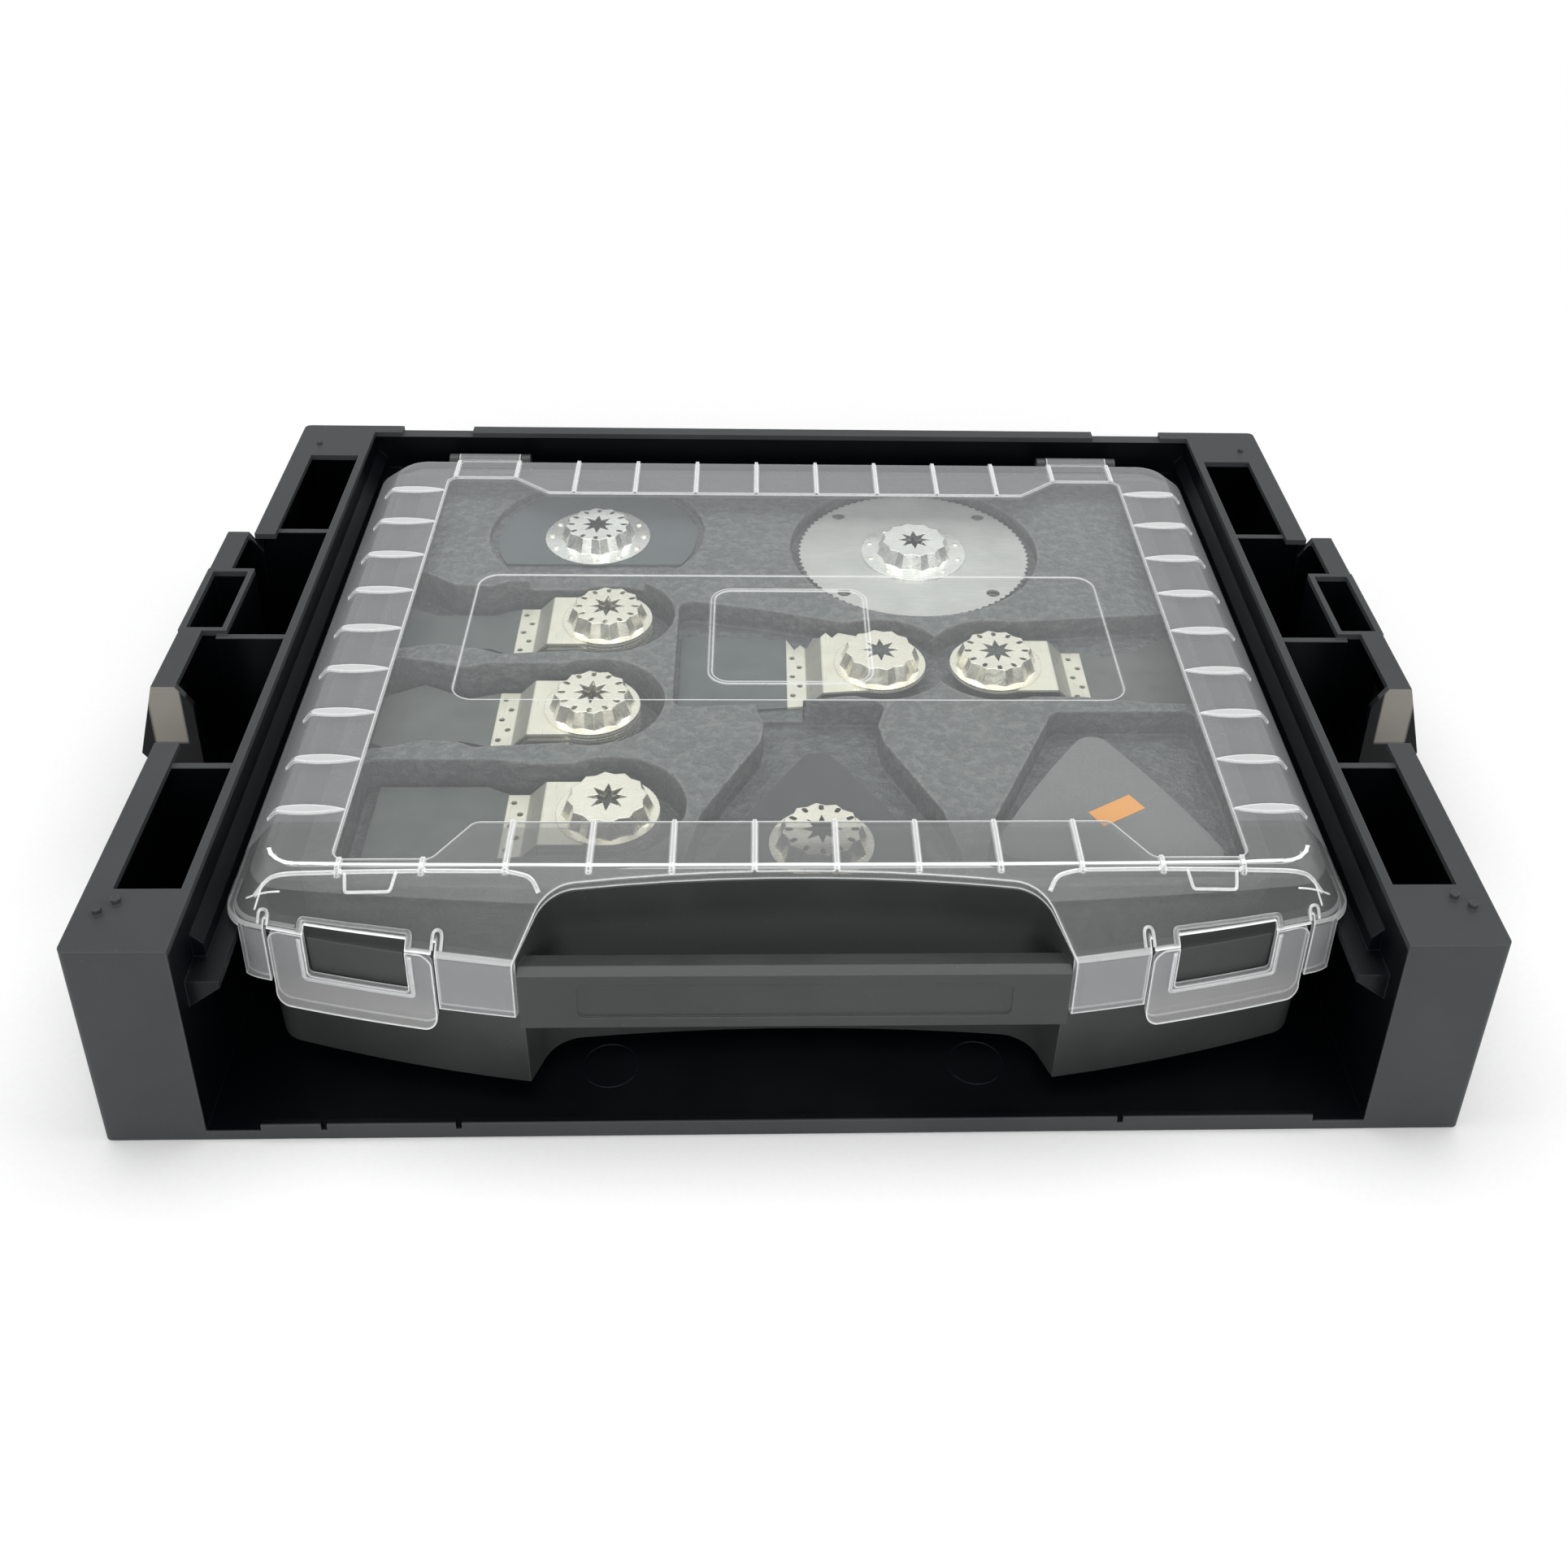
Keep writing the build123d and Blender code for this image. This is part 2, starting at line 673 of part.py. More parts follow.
def build_lid():
    """Clear lid: lofted shell with relief, handle arch, latch openings and hinge knuckles."""
    with BuildPart() as rib_block:
        extrude(rib_plan(), amount=case_top + rib_height)
        add(lid_mass(-rib_height, -rib_height, front_skirt_bottom), mode=Mode.INTERSECT)
        with BuildSketch(Plane.XY) as below:
            Rectangle(2 * rack_width, 2 * rack_depth)
        extrude(amount=lid_kink, mode=Mode.SUBTRACT)
    with BuildPart() as lid:
        add(lid_mass(0, 0, front_skirt_bottom))
        # below the rim only the front skirt stays
        with BuildSketch(Plane.XY) as below_rim:
            Rectangle(2 * rack_width, 2 * rack_depth)
            with Locations((0, -rack_depth + tub_shoulder_y)):
                Rectangle(2 * skirt_half_width, 2 * rack_depth, mode=Mode.SUBTRACT)
        extrude(amount=lid_rim, mode=Mode.SUBTRACT)
        # centre panel, lower than the ridges at the front and the rear
        with BuildSketch(Plane.XY.offset(case_top)) as panel:
            with BuildLine():
                Polyline(
                    (-panel_half_width, panel_front),
                    (-ridge_front_foot, panel_front),
                    (-ridge_front_half, ridge_front),
                    (ridge_front_half, ridge_front),
                    (ridge_front_foot, panel_front),
                    (panel_half_width, panel_front),
                    (panel_half_width, panel_rear),
                    (ridge_rear_foot, panel_rear),
                    (ridge_rear_half, ridge_rear),
                    (-ridge_rear_half, ridge_rear),
                    (-ridge_rear_foot, panel_rear),
                    (-panel_half_width, panel_rear),
                    close=True,
                )
            make_face()
            fillet(panel.vertices(), 4.0)
        extrude(amount=-panel_recess, mode=Mode.SUBTRACT)
        with BuildSketch(Plane.XY.offset(case_top - panel_recess)) as label:
            with Locations((0, (label_front + label_rear) / 2)):
                RectangleRounded(2 * label_half_width, label_rear - label_front, label_corner)
        extrude(amount=-label_depth, mode=Mode.SUBTRACT)
        with BuildSketch(Plane.XY.offset(case_top - panel_recess - label_depth)) as emblem_frame:
            with Locations((0, (frame_front + frame_rear) / 2)):
                RectangleRounded(2 * frame_half_width, frame_rear - frame_front, frame_corner)
                RectangleRounded(
                    2 * (frame_half_width - frame_line),
                    frame_rear - frame_front - 2 * frame_line,
                    frame_corner - frame_line,
                    mode=Mode.SUBTRACT,
                )
        extrude(amount=label_depth)
        add(rib_block.part)
        add(lid_mass(lid_wall, lid_ceiling_drop, front_skirt_bottom), mode=Mode.SUBTRACT)
        extrude(
            arch_outline(0, front_skirt_bottom),
            amount=rack_height, mode=Mode.SUBTRACT,
        )
        for side in (-1, 1):
            # room for the latch tab, its two slits and its window
            tab_mid = side * (tab_inner + tab_outer) / 2
            with BuildSketch(Plane.XY) as tab_zone:
                with Locations((tab_mid, 2 * tub_shoulder_y)):
                    Rectangle(tab_outer - tab_inner, -2 * tub_shoulder_y)
            extrude(amount=lid_kink, mode=Mode.SUBTRACT)
            with BuildSketch(Plane.XY) as slits:
                for slit_x in (tab_inner + tab_slit / 2, tab_outer - tab_slit / 2):
                    with Locations((side * slit_x, 2 * tub_shoulder_y)):
                        Rectangle(tab_slit, -2 * tub_shoulder_y)
                with Locations((side * (window_inner + window_outer) / 2, 2 * tub_shoulder_y)):
                    Rectangle(window_outer - window_inner, -2 * tub_shoulder_y)
            extrude(amount=window_top, mode=Mode.SUBTRACT)
            # knuckle between the two lugs of the hinge
            knuckle_start = hinge_inner + hinge_lug + hinge_side_gap
            knuckle_end = hinge_outer - hinge_lug - hinge_side_gap
            with BuildSketch(Plane.YZ.offset(side * knuckle_start)) as knuckle:
                with BuildLine():
                    Polyline(
                        (hinge_y - 2 * hinge_radius, lid_rim + lid_wall),
                        (hinge_y - hinge_radius, hinge_z + hinge_radius / 2),
                        (hinge_y + hinge_radius / 2, hinge_z),
                        (case_rear, lid_rim),
                        (hinge_y - hinge_radius, lid_rim),
                        close=True,
                    )
                make_face()
                with Locations((hinge_y, hinge_z)):
                    Circle(hinge_radius)
            extrude(amount=side * (knuckle_end - knuckle_start))
            with BuildSketch(Plane.YZ.offset(side * hinge_inner)) as bore:
                with Locations((hinge_y, hinge_z)):
                    Circle(hinge_pin_radius + hinge_pin_clearance)
            extrude(amount=side * (hinge_outer - hinge_inner), mode=Mode.SUBTRACT)
            # reliefs in the rear slope around the base lugs
            for lug_start in (hinge_inner, hinge_outer - hinge_lug):
                relief_low = min(side * (lug_start - hinge_side_gap),
                                 side * (lug_start + hinge_lug + hinge_side_gap))
                slab(
                    relief_low, relief_low + hinge_lug + 2 * hinge_side_gap,
                    hinge_y - hinge_radius - hinge_relief, case_rear + 1,
                    0, case_top + 1, Mode.SUBTRACT,
                )
    return lid.part


def build_tab():
    """Left flexing latch tab: two legs, a window and a lower bar with a pull lip."""
    tab_top = lid_kink - tab_gap
    inner = tab_inner + tab_slit
    outer = tab_outer - tab_slit
    with BuildPart() as tab:
        add(lid_mass(0, 0, tab_bottom))
        loft([
            case_outline(-tab_lip_reach, tab_bottom),
            case_outline(0, tab_lip_top + tab_lip_reach),
        ])
        add(lid_mass(lid_wall, lid_ceiling_drop, tab_bottom), mode=Mode.SUBTRACT)
        # front view of the tab: rounded lower corners and a window open at the top
        with BuildSketch(Plane.XZ.offset(-tub_shoulder_y)) as front_view:
            with Locations((-(inner + outer) / 2, (tab_bottom + tab_top) / 2)):
                Rectangle(outer - inner, tab_top - tab_bottom)
            fillet(front_view.vertices().group_by(Axis.Z)[0], tab_corner)
            with BuildSketch(Plane.XZ, mode=Mode.PRIVATE) as window:
                with Locations((-(window_inner + window_outer) / 2, tab_top)):
                    Rectangle(window_outer - window_inner, 2 * (tab_top - window_bottom))
                fillet(window.vertices().group_by(Axis.Z)[0], window_corner)
            add(window.sketch, mode=Mode.SUBTRACT)
        extrude(amount=rack_depth, mode=Mode.INTERSECT)
    return tab.part


def build_hinge_pin(side):
    """Pin of one hinge, pressed into the lugs of the base."""
    with BuildPart() as pin:
        with BuildSketch(Plane.YZ.offset(side * hinge_inner)):
            with Locations((hinge_y, hinge_z)):
                Circle(hinge_pin_radius)
        extrude(amount=side * (hinge_outer - hinge_inner))
    return pin.part


# ------------------------------------------------------------------ blades
def star_face(radius_out, radius_in):
    """Star-shaped drive opening of the stamped mounts."""
    with BuildSketch() as star:
        with BuildLine():
            corners = []
            for index in range(2 * star_points):
                reach = radius_out if index % 2 == 0 else radius_in
                angle = pi * index / star_points
                corners.append((reach * cos(angle), reach * sin(angle)))
            Polyline(*corners, close=True)
        make_face()
    return star.sketch


def lobed_face(radius):
    """Twelve-lobed plan of the cup of a mount."""
    with BuildSketch() as lobed:
        with BuildLine():
            corners = []
            for index in range(2 * hub_lobes):
                reach = radius - (hub_lobe_depth if index % 2 else 0)
                angle = pi * (index + 0.5) / hub_lobes
                corners.append((reach * cos(angle), reach * sin(angle)))
            Polyline(*corners, close=True)
        make_face()
    return lobed.sketch


def build_hubs(center, count, flange_radius, perforated):
    """Nested stamped mounts with a star opening, one for each blade of a stack."""
    with BuildPart() as hubs:
        for level in range(count):
            seat = mount_plane - level * stack_pitch
            cup_top = seat + hub_sheet + hub_cup_height
            with BuildSketch(Plane.XY.offset(seat)):
                with Locations(center):
                    Circle(flange_radius)
            extrude(amount=hub_sheet)
            with BuildSketch(Plane.XY.offset(seat + hub_sheet)):
                with Locations(center):
                    add(lobed_face(hub_cup_radius))
            with BuildSketch(Plane.XY.offset(cup_top)):
                with Locations(center):
                    add(lobed_face(hub_cup_radius - hub_cup_narrowing))
            loft(ruled=True)
            with BuildSketch(Plane.XY.offset(seat)):
                with Locations(center):
                    add(lobed_face(cup_inner_radius))
            with BuildSketch(Plane.XY.offset(cup_top - hub_sheet)):
                with Locations(center):
                    add(lobed_face(cup_inner_radius - hub_cup_narrowing))
            loft(ruled=True, mode=Mode.SUBTRACT)
            with BuildSketch(Plane.XY.offset(cup_top)):
                with Locations(center):
                    add(star_face(star_outer_radius, star_inner_radius))
                if perforated:
                    with Locations(center):
                        with PolarLocations(hub_hole_circle, hub_lobes):
                            SlotOverall(hub_hole_length, hub_hole_width)
            extrude(amount=-2 * hub_sheet, mode=Mode.SUBTRACT)
    return hubs.part


def cranked_stack(hub, points, count):
    """Stack of cranked blades: the mount end is higher than the working end."""
    reach = max((x for x, y in points), key=abs)
    sign = 1 if reach > 0 else -1
    crank_start = hub[0] + sign * crank_distance
    crank_end = crank_start + sign * crank_drop
    tip = hub[0] + reach
    tail = hub[0] - sign * hub_flange_radius
    with BuildPart() as stack:
        for level in range(count):
            top = mount_plane - level * stack_pitch
            with BuildSketch(Plane.XZ.offset(-hub[1])):
                with BuildLine():
                    Polyline(
                        (tail, top),
                        (crank_start, top),
                        (crank_end, top - crank_drop),
                        (tip, top - crank_drop),
                        (tip, top - crank_drop - plate_thickness),
                        (crank_end - sign * plate_thickness / 2, top - crank_drop - plate_thickness),
                        (crank_start - sign * plate_thickness / 2, top - plate_thickness),
                        (tail, top - plate_thickness),
                        close=True,
                    )
                make_face()
            extrude(amount=2 * hub_cup_radius + hub_flange_radius, both=True)
        with BuildSketch(Plane.XY) as plan:
            add(blade_outline(hub, points))
            with Locations(hub):
                Circle(mount_hole_radius, mode=Mode.SUBTRACT)
            for index in range(strip_hole_count):
                column = strip_hole_offset if index % 2 else -strip_hole_offset
                row = (index - (strip_hole_count - 1) / 2) * strip_hole_pitch
                with Locations((hub[0] + sign * strip_hole_reach + column, hub[1] + row)):
                    Circle(strip_hole_radius, mode=Mode.SUBTRACT)
        extrude(amount=rack_height, mode=Mode.INTERSECT)
    return stack.part


def blade_outline(hub, points):
    """Plan of a blade: round mount end joined to a body given relative to the mount."""
    with BuildSketch() as outline:
        with BuildLine():
            Polyline(*[(hub[0] + x, hub[1] + y) for x, y in points], close=True)
        make_face()
        with Locations(hub):
            Circle(hub_flange_radius)
    return outline.sketch


def plunge_points():
    """Plunge blade with a narrow waist and a flared toothed end, pointing toward -X."""
    neck = neck_half_width
    return [
        (0, -neck), (-36.0, -neck), (-46.0, -11.5), (-70.0, -11.5), (-80.0, -16.5), (-84.0, -16.5),
        (-84.0, 16.5), (-80.0, 16.5), (-70.0, 11.5), (-46.0, 11.5), (-36.0, neck), (0, neck),
    ]


def flared_points():
    """Wider plunge blade with a flared cutting end, pointing toward -X."""
    neck = neck_half_width
    return [
        (0, -neck), (-36.0, -neck), (-48.0, -13.0), (-66.0, -22.0), (-80.0, -14.0),
        (-80.0, 14.0), (-66.0, 22.0), (-48.0, 13.0), (-36.0, neck), (0, neck),
    ]


def broad_points():
    """Broad flush-cut blade, pointing toward -X."""
    neck = neck_half_width
    return [
        (0, -neck), (-36.0, -neck), (-44.0, -21.0), (-82.0, -21.0),
        (-82.0, 21.0), (-44.0, 21.0), (-36.0, neck), (0, neck),
    ]


def serrated_points():
    """Wide straight blade with a toothed corner, pointing toward -X."""
    neck = neck_half_width
    comb = [(-33.0 + 2.5 * step, neck + (5.0 if step % 2 else 1.5)) for step in range(8)]
    return [
        (0, -neck), (-36.0, -20.0), (-78.0, -24.0), (-78.0, 27.0), (-36.0, 25.0), *comb, (0, neck),
    ]


def scraper_points():
    """Scraper blade that widens to a bowed edge, pointing toward +X."""
    neck = neck_half_width
    return [
        (0, neck), (36.0, neck), (46.0, 14.0), (58.0, 18.0), (73.0, 27.0), (75.5, 14.0),
        (76.5, 0), (75.5, -14.0), (73.0, -27.0), (58.0, -18.0), (46.0, -14.0), (36.0, -neck),
        (0, -neck),
    ]


def build_segment_blade():
    """Round cutting disc with one flat side."""
    with BuildPart() as disc:
        with BuildSketch(Plane.XY.offset(mount_plane - plate_thickness)):
            with Locations(segment_center):
                Circle(segment_radius)
                Circle(mount_hole_radius, mode=Mode.SUBTRACT)
            with Locations((segment_center[0], segment_flat - segment_radius)):
                Rectangle(2 * segment_radius, 2 * segment_radius, mode=Mode.SUBTRACT)
        extrude(amount=plate_thickness)
    return disc.part


def build_rivets():
    """Rivet heads round the flange of the segment blade mount."""
    with BuildPart() as rivets:
        with BuildSketch(Plane.XY.offset(mount_plane + hub_sheet)):
            with Locations(segment_center):
                with PolarLocations(rivet_circle, hub_lobes):
                    Circle(rivet_radius)
        extrude(amount=rivet_height, taper=30)
    return rivets.part


def build_round_blades():
    """Two fine-toothed round saw blades, one above the other."""
    with BuildPart() as blades:
        for level in range(2):
            top = mount_plane - level * stack_pitch
            corners = []
            for index in range(2 * round_teeth):
                reach = round_radius - (round_tooth_depth if index % 2 else 0)
                angle = pi * index / round_teeth
                corners.append(
                    (round_center[0] + reach * cos(angle), round_center[1] + reach * sin(angle))
                )
            with BuildSketch(Plane.XY.offset(top - plate_thickness)):
                with BuildLine():
                    Polyline(*corners, close=True)
                make_face()
                with Locations(round_center):
                    Circle(mount_hole_radius, mode=Mode.SUBTRACT)
                    with PolarLocations(round_hole_circle, 4, start_angle=45):
                        Circle(round_hole_radius, mode=Mode.SUBTRACT)
            extrude(amount=plate_thickness)
    return blades.part


def delta_face(center, side, corner, turn):
    """Rounded triangle with slightly bowed sides whose tip points toward the rear."""
    reach = side / sqrt(3)
    ring = []
    for step in range(6):
        angle = radians(90 + 60 * step + turn)
        radius = reach / 2 + pad_bulge if step % 2 else reach
        ring.append((center[0] + radius * cos(angle), center[1] + radius * sin(angle)))
    with BuildSketch() as delta:
        with BuildLine():
            for start in (0, 2, 4):
                ThreePointArc(ring[start], ring[start + 1], ring[(start + 2) % 6])
        make_face()
        fillet(delta.vertices(), corner)
    return delta.sketch


def build_pad():
    """Delta sanding pad: a stiff plate with a soft face below it."""
    with BuildPart() as pad:
        with BuildSketch(Plane.XY.offset(mount_plane - pad_thickness)):
            add(delta_face(pad_center, pad_side, pad_corner, 0))
            with Locations(pad_mount_center):
                Circle(mount_hole_radius, mode=Mode.SUBTRACT)
        extrude(amount=pad_thickness)
    return pad.part


def build_sheets():
    """Loose stack of delta sanding sheets."""
    with BuildPart() as sheets:
        for level in range(sheet_count):
            with BuildSketch(Plane.XY.offset(mount_plane - sheet_thickness - level * sheet_pitch)):
                add(delta_face(sheet_center, pad_side, pad_corner, sheet_turn))
            extrude(amount=sheet_thickness)
    return sheets.part


def build_label():
    """Bare label on the top sheet."""
    with BuildPart() as label:
        with BuildSketch(Plane.XY.offset(mount_plane)):
            with Locations(Location(label_center, label_turn)):
                Rectangle(*label_size)
        extrude(amount=label_sheet)
    return label.part


# ------------------------------------------------------------------ tray
def tray_outline(inset, height):
    """Plan outline of the tray."""
    with BuildSketch(Plane.XY.offset(height)) as outline:
        with Locations(((tray_left + tray_right) / 2, (tray_front + tray_rear) / 2)):
            RectangleRounded(
                tray_right - tray_left - 2 * inset, tray_rear - tray_front - 2 * inset,
                tray_corner - inset,
            )
    return outline.sketch


def build_tray(pockets):
    """Formed tray: a thin shell with one pocket under each stack of accessories.

    pockets is a list of (plan function of a margin, floor height).
    """
    with BuildPart() as tray:
        extrude(tray_outline(0, tub_floor_top), amount=tray_top - tub_floor_top)
        extrude(
            tray_outline(tray_wall, tub_floor_top),
            amount=tray_top - tray_wall - tub_floor_top, mode=Mode.SUBTRACT,
        )
        for plan, floor in pockets:
            with BuildSketch(Plane.XY.offset(floor - tray_wall)):
                add(plan(tray_wall))
                add(tray_outline(0, floor - tray_wall), mode=Mode.INTERSECT)
            extrude(amount=tray_top - floor + tray_wall)
        for plan, floor in pockets:
            with BuildSketch(Plane.XY.offset(floor)):
                add(plan(0))
                add(tray_outline(tray_wall, floor), mode=Mode.INTERSECT)
            extrude(amount=tray_top - floor + 1, mode=Mode.SUBTRACT)
    return tray.part


def stack_floor(count, drop):
    """Height of the pocket floor under a stack."""
    return mount_plane - drop - plate_thickness - (count - 1) * stack_pitch - seat_gap


def plunge_pocket():
    """Outline of the pocket of a blade stack, relative to its mount, pointing toward -X."""
    return [
        (10.0, 24.0), (-42.0, 24.5), (-49.0, 20.5), (-64.0, 21.5), (-77.0, 30.5), (-88.5, 33.0),
        (-88.5, -24.0), (-77.0, -24.0), (-64.0, -21.0), (-46.0, -25.0), (-40.0, -28.0), (10.0, -24.0),
    ]


def flared_pocket():
    """Outline of the pocket of the flared blades, relative to their mount."""
    return [
        (10.0, 24.0), (-42.0, 24.5), (-50.0, 21.0), (-62.0, 25.0), (-76.0, 27.5), (-85.0, 27.0),
        (-85.0, -30.0), (-70.0, -28.0), (-60.0, -24.0), (-46.0, -25.0), (-40.0, -28.0), (10.0, -24.0),
    ]


def broad_pocket():
    """Outline of the pocket of the broad blades, relative to their mount."""
    return [
        (10.0, 24.0), (-28.0, 23.0), (-42.0, 25.5), (-88.0, 26.0),
        (-88.0, -29.0), (-42.0, -29.0), (-28.0, -26.0), (10.0, -24.0),
    ]


def serrated_pocket():
    """Outline of the pocket of the wide blade, relative to its mount."""
    return [
        (10.0, 24.5), (-14.0, 25.0), (-46.0, 34.0), (-79.5, 41.0),
        (-79.5, -32.0), (-46.0, -30.0), (-14.0, -25.0), (10.0, -24.5),
    ]


def scraper_pocket():
    """Outline of the pocket of the scraper, relative to its mount."""
    return [
        (-10.0, 24.5), (30.0, 28.0), (60.0, 31.0), (86.0, 33.0),
        (86.0, -30.0), (60.0, -29.0), (30.0, -25.0), (-10.0, -24.5),
    ]


def pad_pocket():
    """Outline of the pocket of the sanding pad."""
    return [
        spot(-14.6, -26.6), spot(36.6, -26.6), spot(32.0, -42.0), spot(33.5, -52.0), spot(52.0, -91.0),
        spot(58.0, -125.0), spot(-39.0, -125.0), spot(-31.5, -91.0), spot(-11.5, -52.0),
        spot(-10.0, -42.0),
    ]


def sheet_pocket():
    """Outline of the pocket of the sanding sheets."""
    return [
        spot(98.0, -33.5), spot(151.5, -33.0), spot(154.0, -70.0), spot(154.0, -124.5),
        spot(62.0, -124.5), spot(69.4, -94.6),
    ]


def outline_plan(center, points, hub_radius, margin):
    """Pocket plan from an outline and the round end of a mount."""
    with BuildSketch() as plan:
        with BuildLine():
            Polyline(*[(center[0] + x, center[1] + y) for x, y in points], close=True)
        make_face()
        fillet(plan.vertices(), pocket_corner)
        if hub_radius:
            with Locations(center):
                Circle(hub_radius)
        if margin:
            offset(amount=margin)
    return plan.sketch


def circle_plan(center, radius, margin):
    """Round pocket plan."""
    with BuildSketch() as plan:
        with Locations(center):
            Circle(radius + margin)
    return plan.sketch


# ------------------------------------------------------------------ all pieces
def main():
    os.makedirs("parts", exist_ok=True)
    write(build_rack(), "rack_frame")
    with BuildPart() as base_with_catches:
        add(build_base())
        add(build_catch(-1))
        add(build_catch(1))
    write(base_with_catches.part, "case_base")
    write(build_lid(), "case_lid")
    left_tab = build_tab()
    write(left_tab, "latch_tab_left")
    write(mirror(left_tab, Plane.YZ), "latch_tab_right")
    write(build_hinge_pin(-1), "hinge_pin_left")
    write(build_hinge_pin(1), "hinge_pin_right")

    stacks = (
        ("rear_plunge", rear_stack_hub, plunge_points(), plunge_pocket(), 3, True),
        ("middle_plunge", middle_stack_hub, flared_points(), flared_pocket(), 4, True),
        ("front_plunge", front_stack_hub, broad_points(), broad_pocket(), 3, False),
        ("wide_serrated", wide_blade_hub, serrated_points(), serrated_pocket(), 1, False),
        ("scraper", scraper_hub, scraper_points(), scraper_pocket(), 1, True),
    )
    hub_room = hub_flange_radius + pocket_hub_margin
    pockets = []
    for name, hub, points, pocket, count, perforated in stacks:
        write(cranked_stack(hub, stretched(points), count), f"{name}_blades")
        write(build_hubs(hub, count, hub_flange_radius, perforated), f"{name}_mounts")
        plan = partial(outline_plan, hub, stretched(pocket), hub_room)
        pockets.append((plan, stack_floor(count, crank_drop)))

    write(build_segment_blade(), "segment_blade")
    write(build_hubs(segment_center, 1, hub_large_flange_radius, True), "segment_blade_mount")
    write(build_rivets(), "segment_blade_rivets")
    segment_room = segment_radius + pocket_round_margin
    pockets.append((partial(circle_plan, segment_center, segment_room), stack_floor(1, 0)))

    write(build_round_blades(), "round_blades")
    write(build_hubs(round_center, 2, hub_large_flange_radius, False), "round_blade_mounts")
    round_room = round_radius + pocket_round_margin
    pockets.append((partial(circle_plan, round_center, round_room), stack_floor(2, 0)))

    origin = (0, 0)
    write(build_pad(), "sanding_pad")
    write(build_hubs(pad_mount_center, 1, hub_flange_radius, True), "sanding_pad_mount")
    pad_plan = partial(outline_plan, origin, pad_pocket(), 0)
    pockets.append((pad_plan, mount_plane - pad_thickness - seat_gap))
    write(build_sheets(), "sanding_sheets")
    write(build_label(), "grit_label")
    sheet_plan = partial(outline_plan, origin, sheet_pocket(), 0)
    stack_depth = sheet_thickness + (sheet_count - 1) * sheet_pitch
    pockets.append((sheet_plan, mount_plane - stack_depth - seat_gap))
    write(build_tray(pockets), "insert_tray")


main()
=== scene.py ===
"""Looks of the saw blade storage case: camera, lights, floor, materials and fine moulded detail.

The large pieces are CAD nodes of the frame and only get their materials here. Lengths are metres, except in
the section on small moulded detail, where paths and sizes are mm.
"""
import math
import bpy
import bmesh
from mathutils import Matrix, Vector
from mathutils.bvhtree import BVHTree


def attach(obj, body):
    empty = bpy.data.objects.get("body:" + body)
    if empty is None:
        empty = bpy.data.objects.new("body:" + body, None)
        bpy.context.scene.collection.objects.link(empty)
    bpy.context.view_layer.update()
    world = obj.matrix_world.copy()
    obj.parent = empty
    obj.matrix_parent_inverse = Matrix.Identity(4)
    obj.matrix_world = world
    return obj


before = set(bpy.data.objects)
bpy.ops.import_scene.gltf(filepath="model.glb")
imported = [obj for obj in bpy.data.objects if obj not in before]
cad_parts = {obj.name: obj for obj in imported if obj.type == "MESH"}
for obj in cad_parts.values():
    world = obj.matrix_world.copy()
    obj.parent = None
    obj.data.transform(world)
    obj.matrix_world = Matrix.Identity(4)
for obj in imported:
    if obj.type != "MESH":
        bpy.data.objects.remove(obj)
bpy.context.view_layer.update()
scene = bpy.context.scene
MM = 0.001

# Camera fitted to the photograph: pixels of the square frame, degrees and metres.
FRAME_PX = 1929.0
FOCAL_PX = 2165.742
CENTRE_PX = (1028.35, 647.443)
SENSOR_MM = 36.0
CAMERA_PITCH, CAMERA_YAW, CAMERA_ROLL = 30.819, 3.0876, 1.9332
CAMERA_PLACE = (-0.014037, -0.560874, 0.465369)

# Limits on the CAD pieces at which a finish, a painted highlight or a painted shade changes, in metres:
# rack (painted shade inside), grips (painted highlight), lid (frost, painted highlights and painted shade),
# tabs (painted highlight on the lip), tray (painted shade in the pockets), blades.
RACK_TOP, RACK_FRONT, RACK_REAR = 0.0795, -0.1683, 0.1675
RACK_WALL = 0.2205
GRIP_FOOT = 0.046
GRIP_END_INNER, GRIP_END_OUTER = (0.2218, 0.2226), (0.2345, 0.2335)
GRIP_END_FOOT = (0.0560, 0.0575)
GRIP_END_FRONT, GRIP_END_BACK = -0.037, -0.034
PANEL_SIDE = 0.149
PANEL_FRONT_CUT = (0.1060, 0.1174, -0.1075, -0.1255)
PANEL_REAR_CUT = (0.1040, 0.1200, 0.1120, 0.1250)
LID_UPPER, LID_FRONT, SKIRT_TOP = 0.0745, -0.1076, 0.0650
GLINT_FRONT = -0.120
RIB_TOP = 0.08025
TAB_LIP, LIP_HEIGHT = 0.048, 0.004
POCKET_EDGE, POCKET_FLOOR = 0.0685, 0.0600
STRIP_START, STRIP_END = (0.0222, 0.0228), (0.0292, 0.0284)
COATING_START, COATING_BLEND = 0.0362, 0.0002

# Colour that the bare ends of all the blades share.
BARE_STEEL = (0.88, 0.85, 0.70)


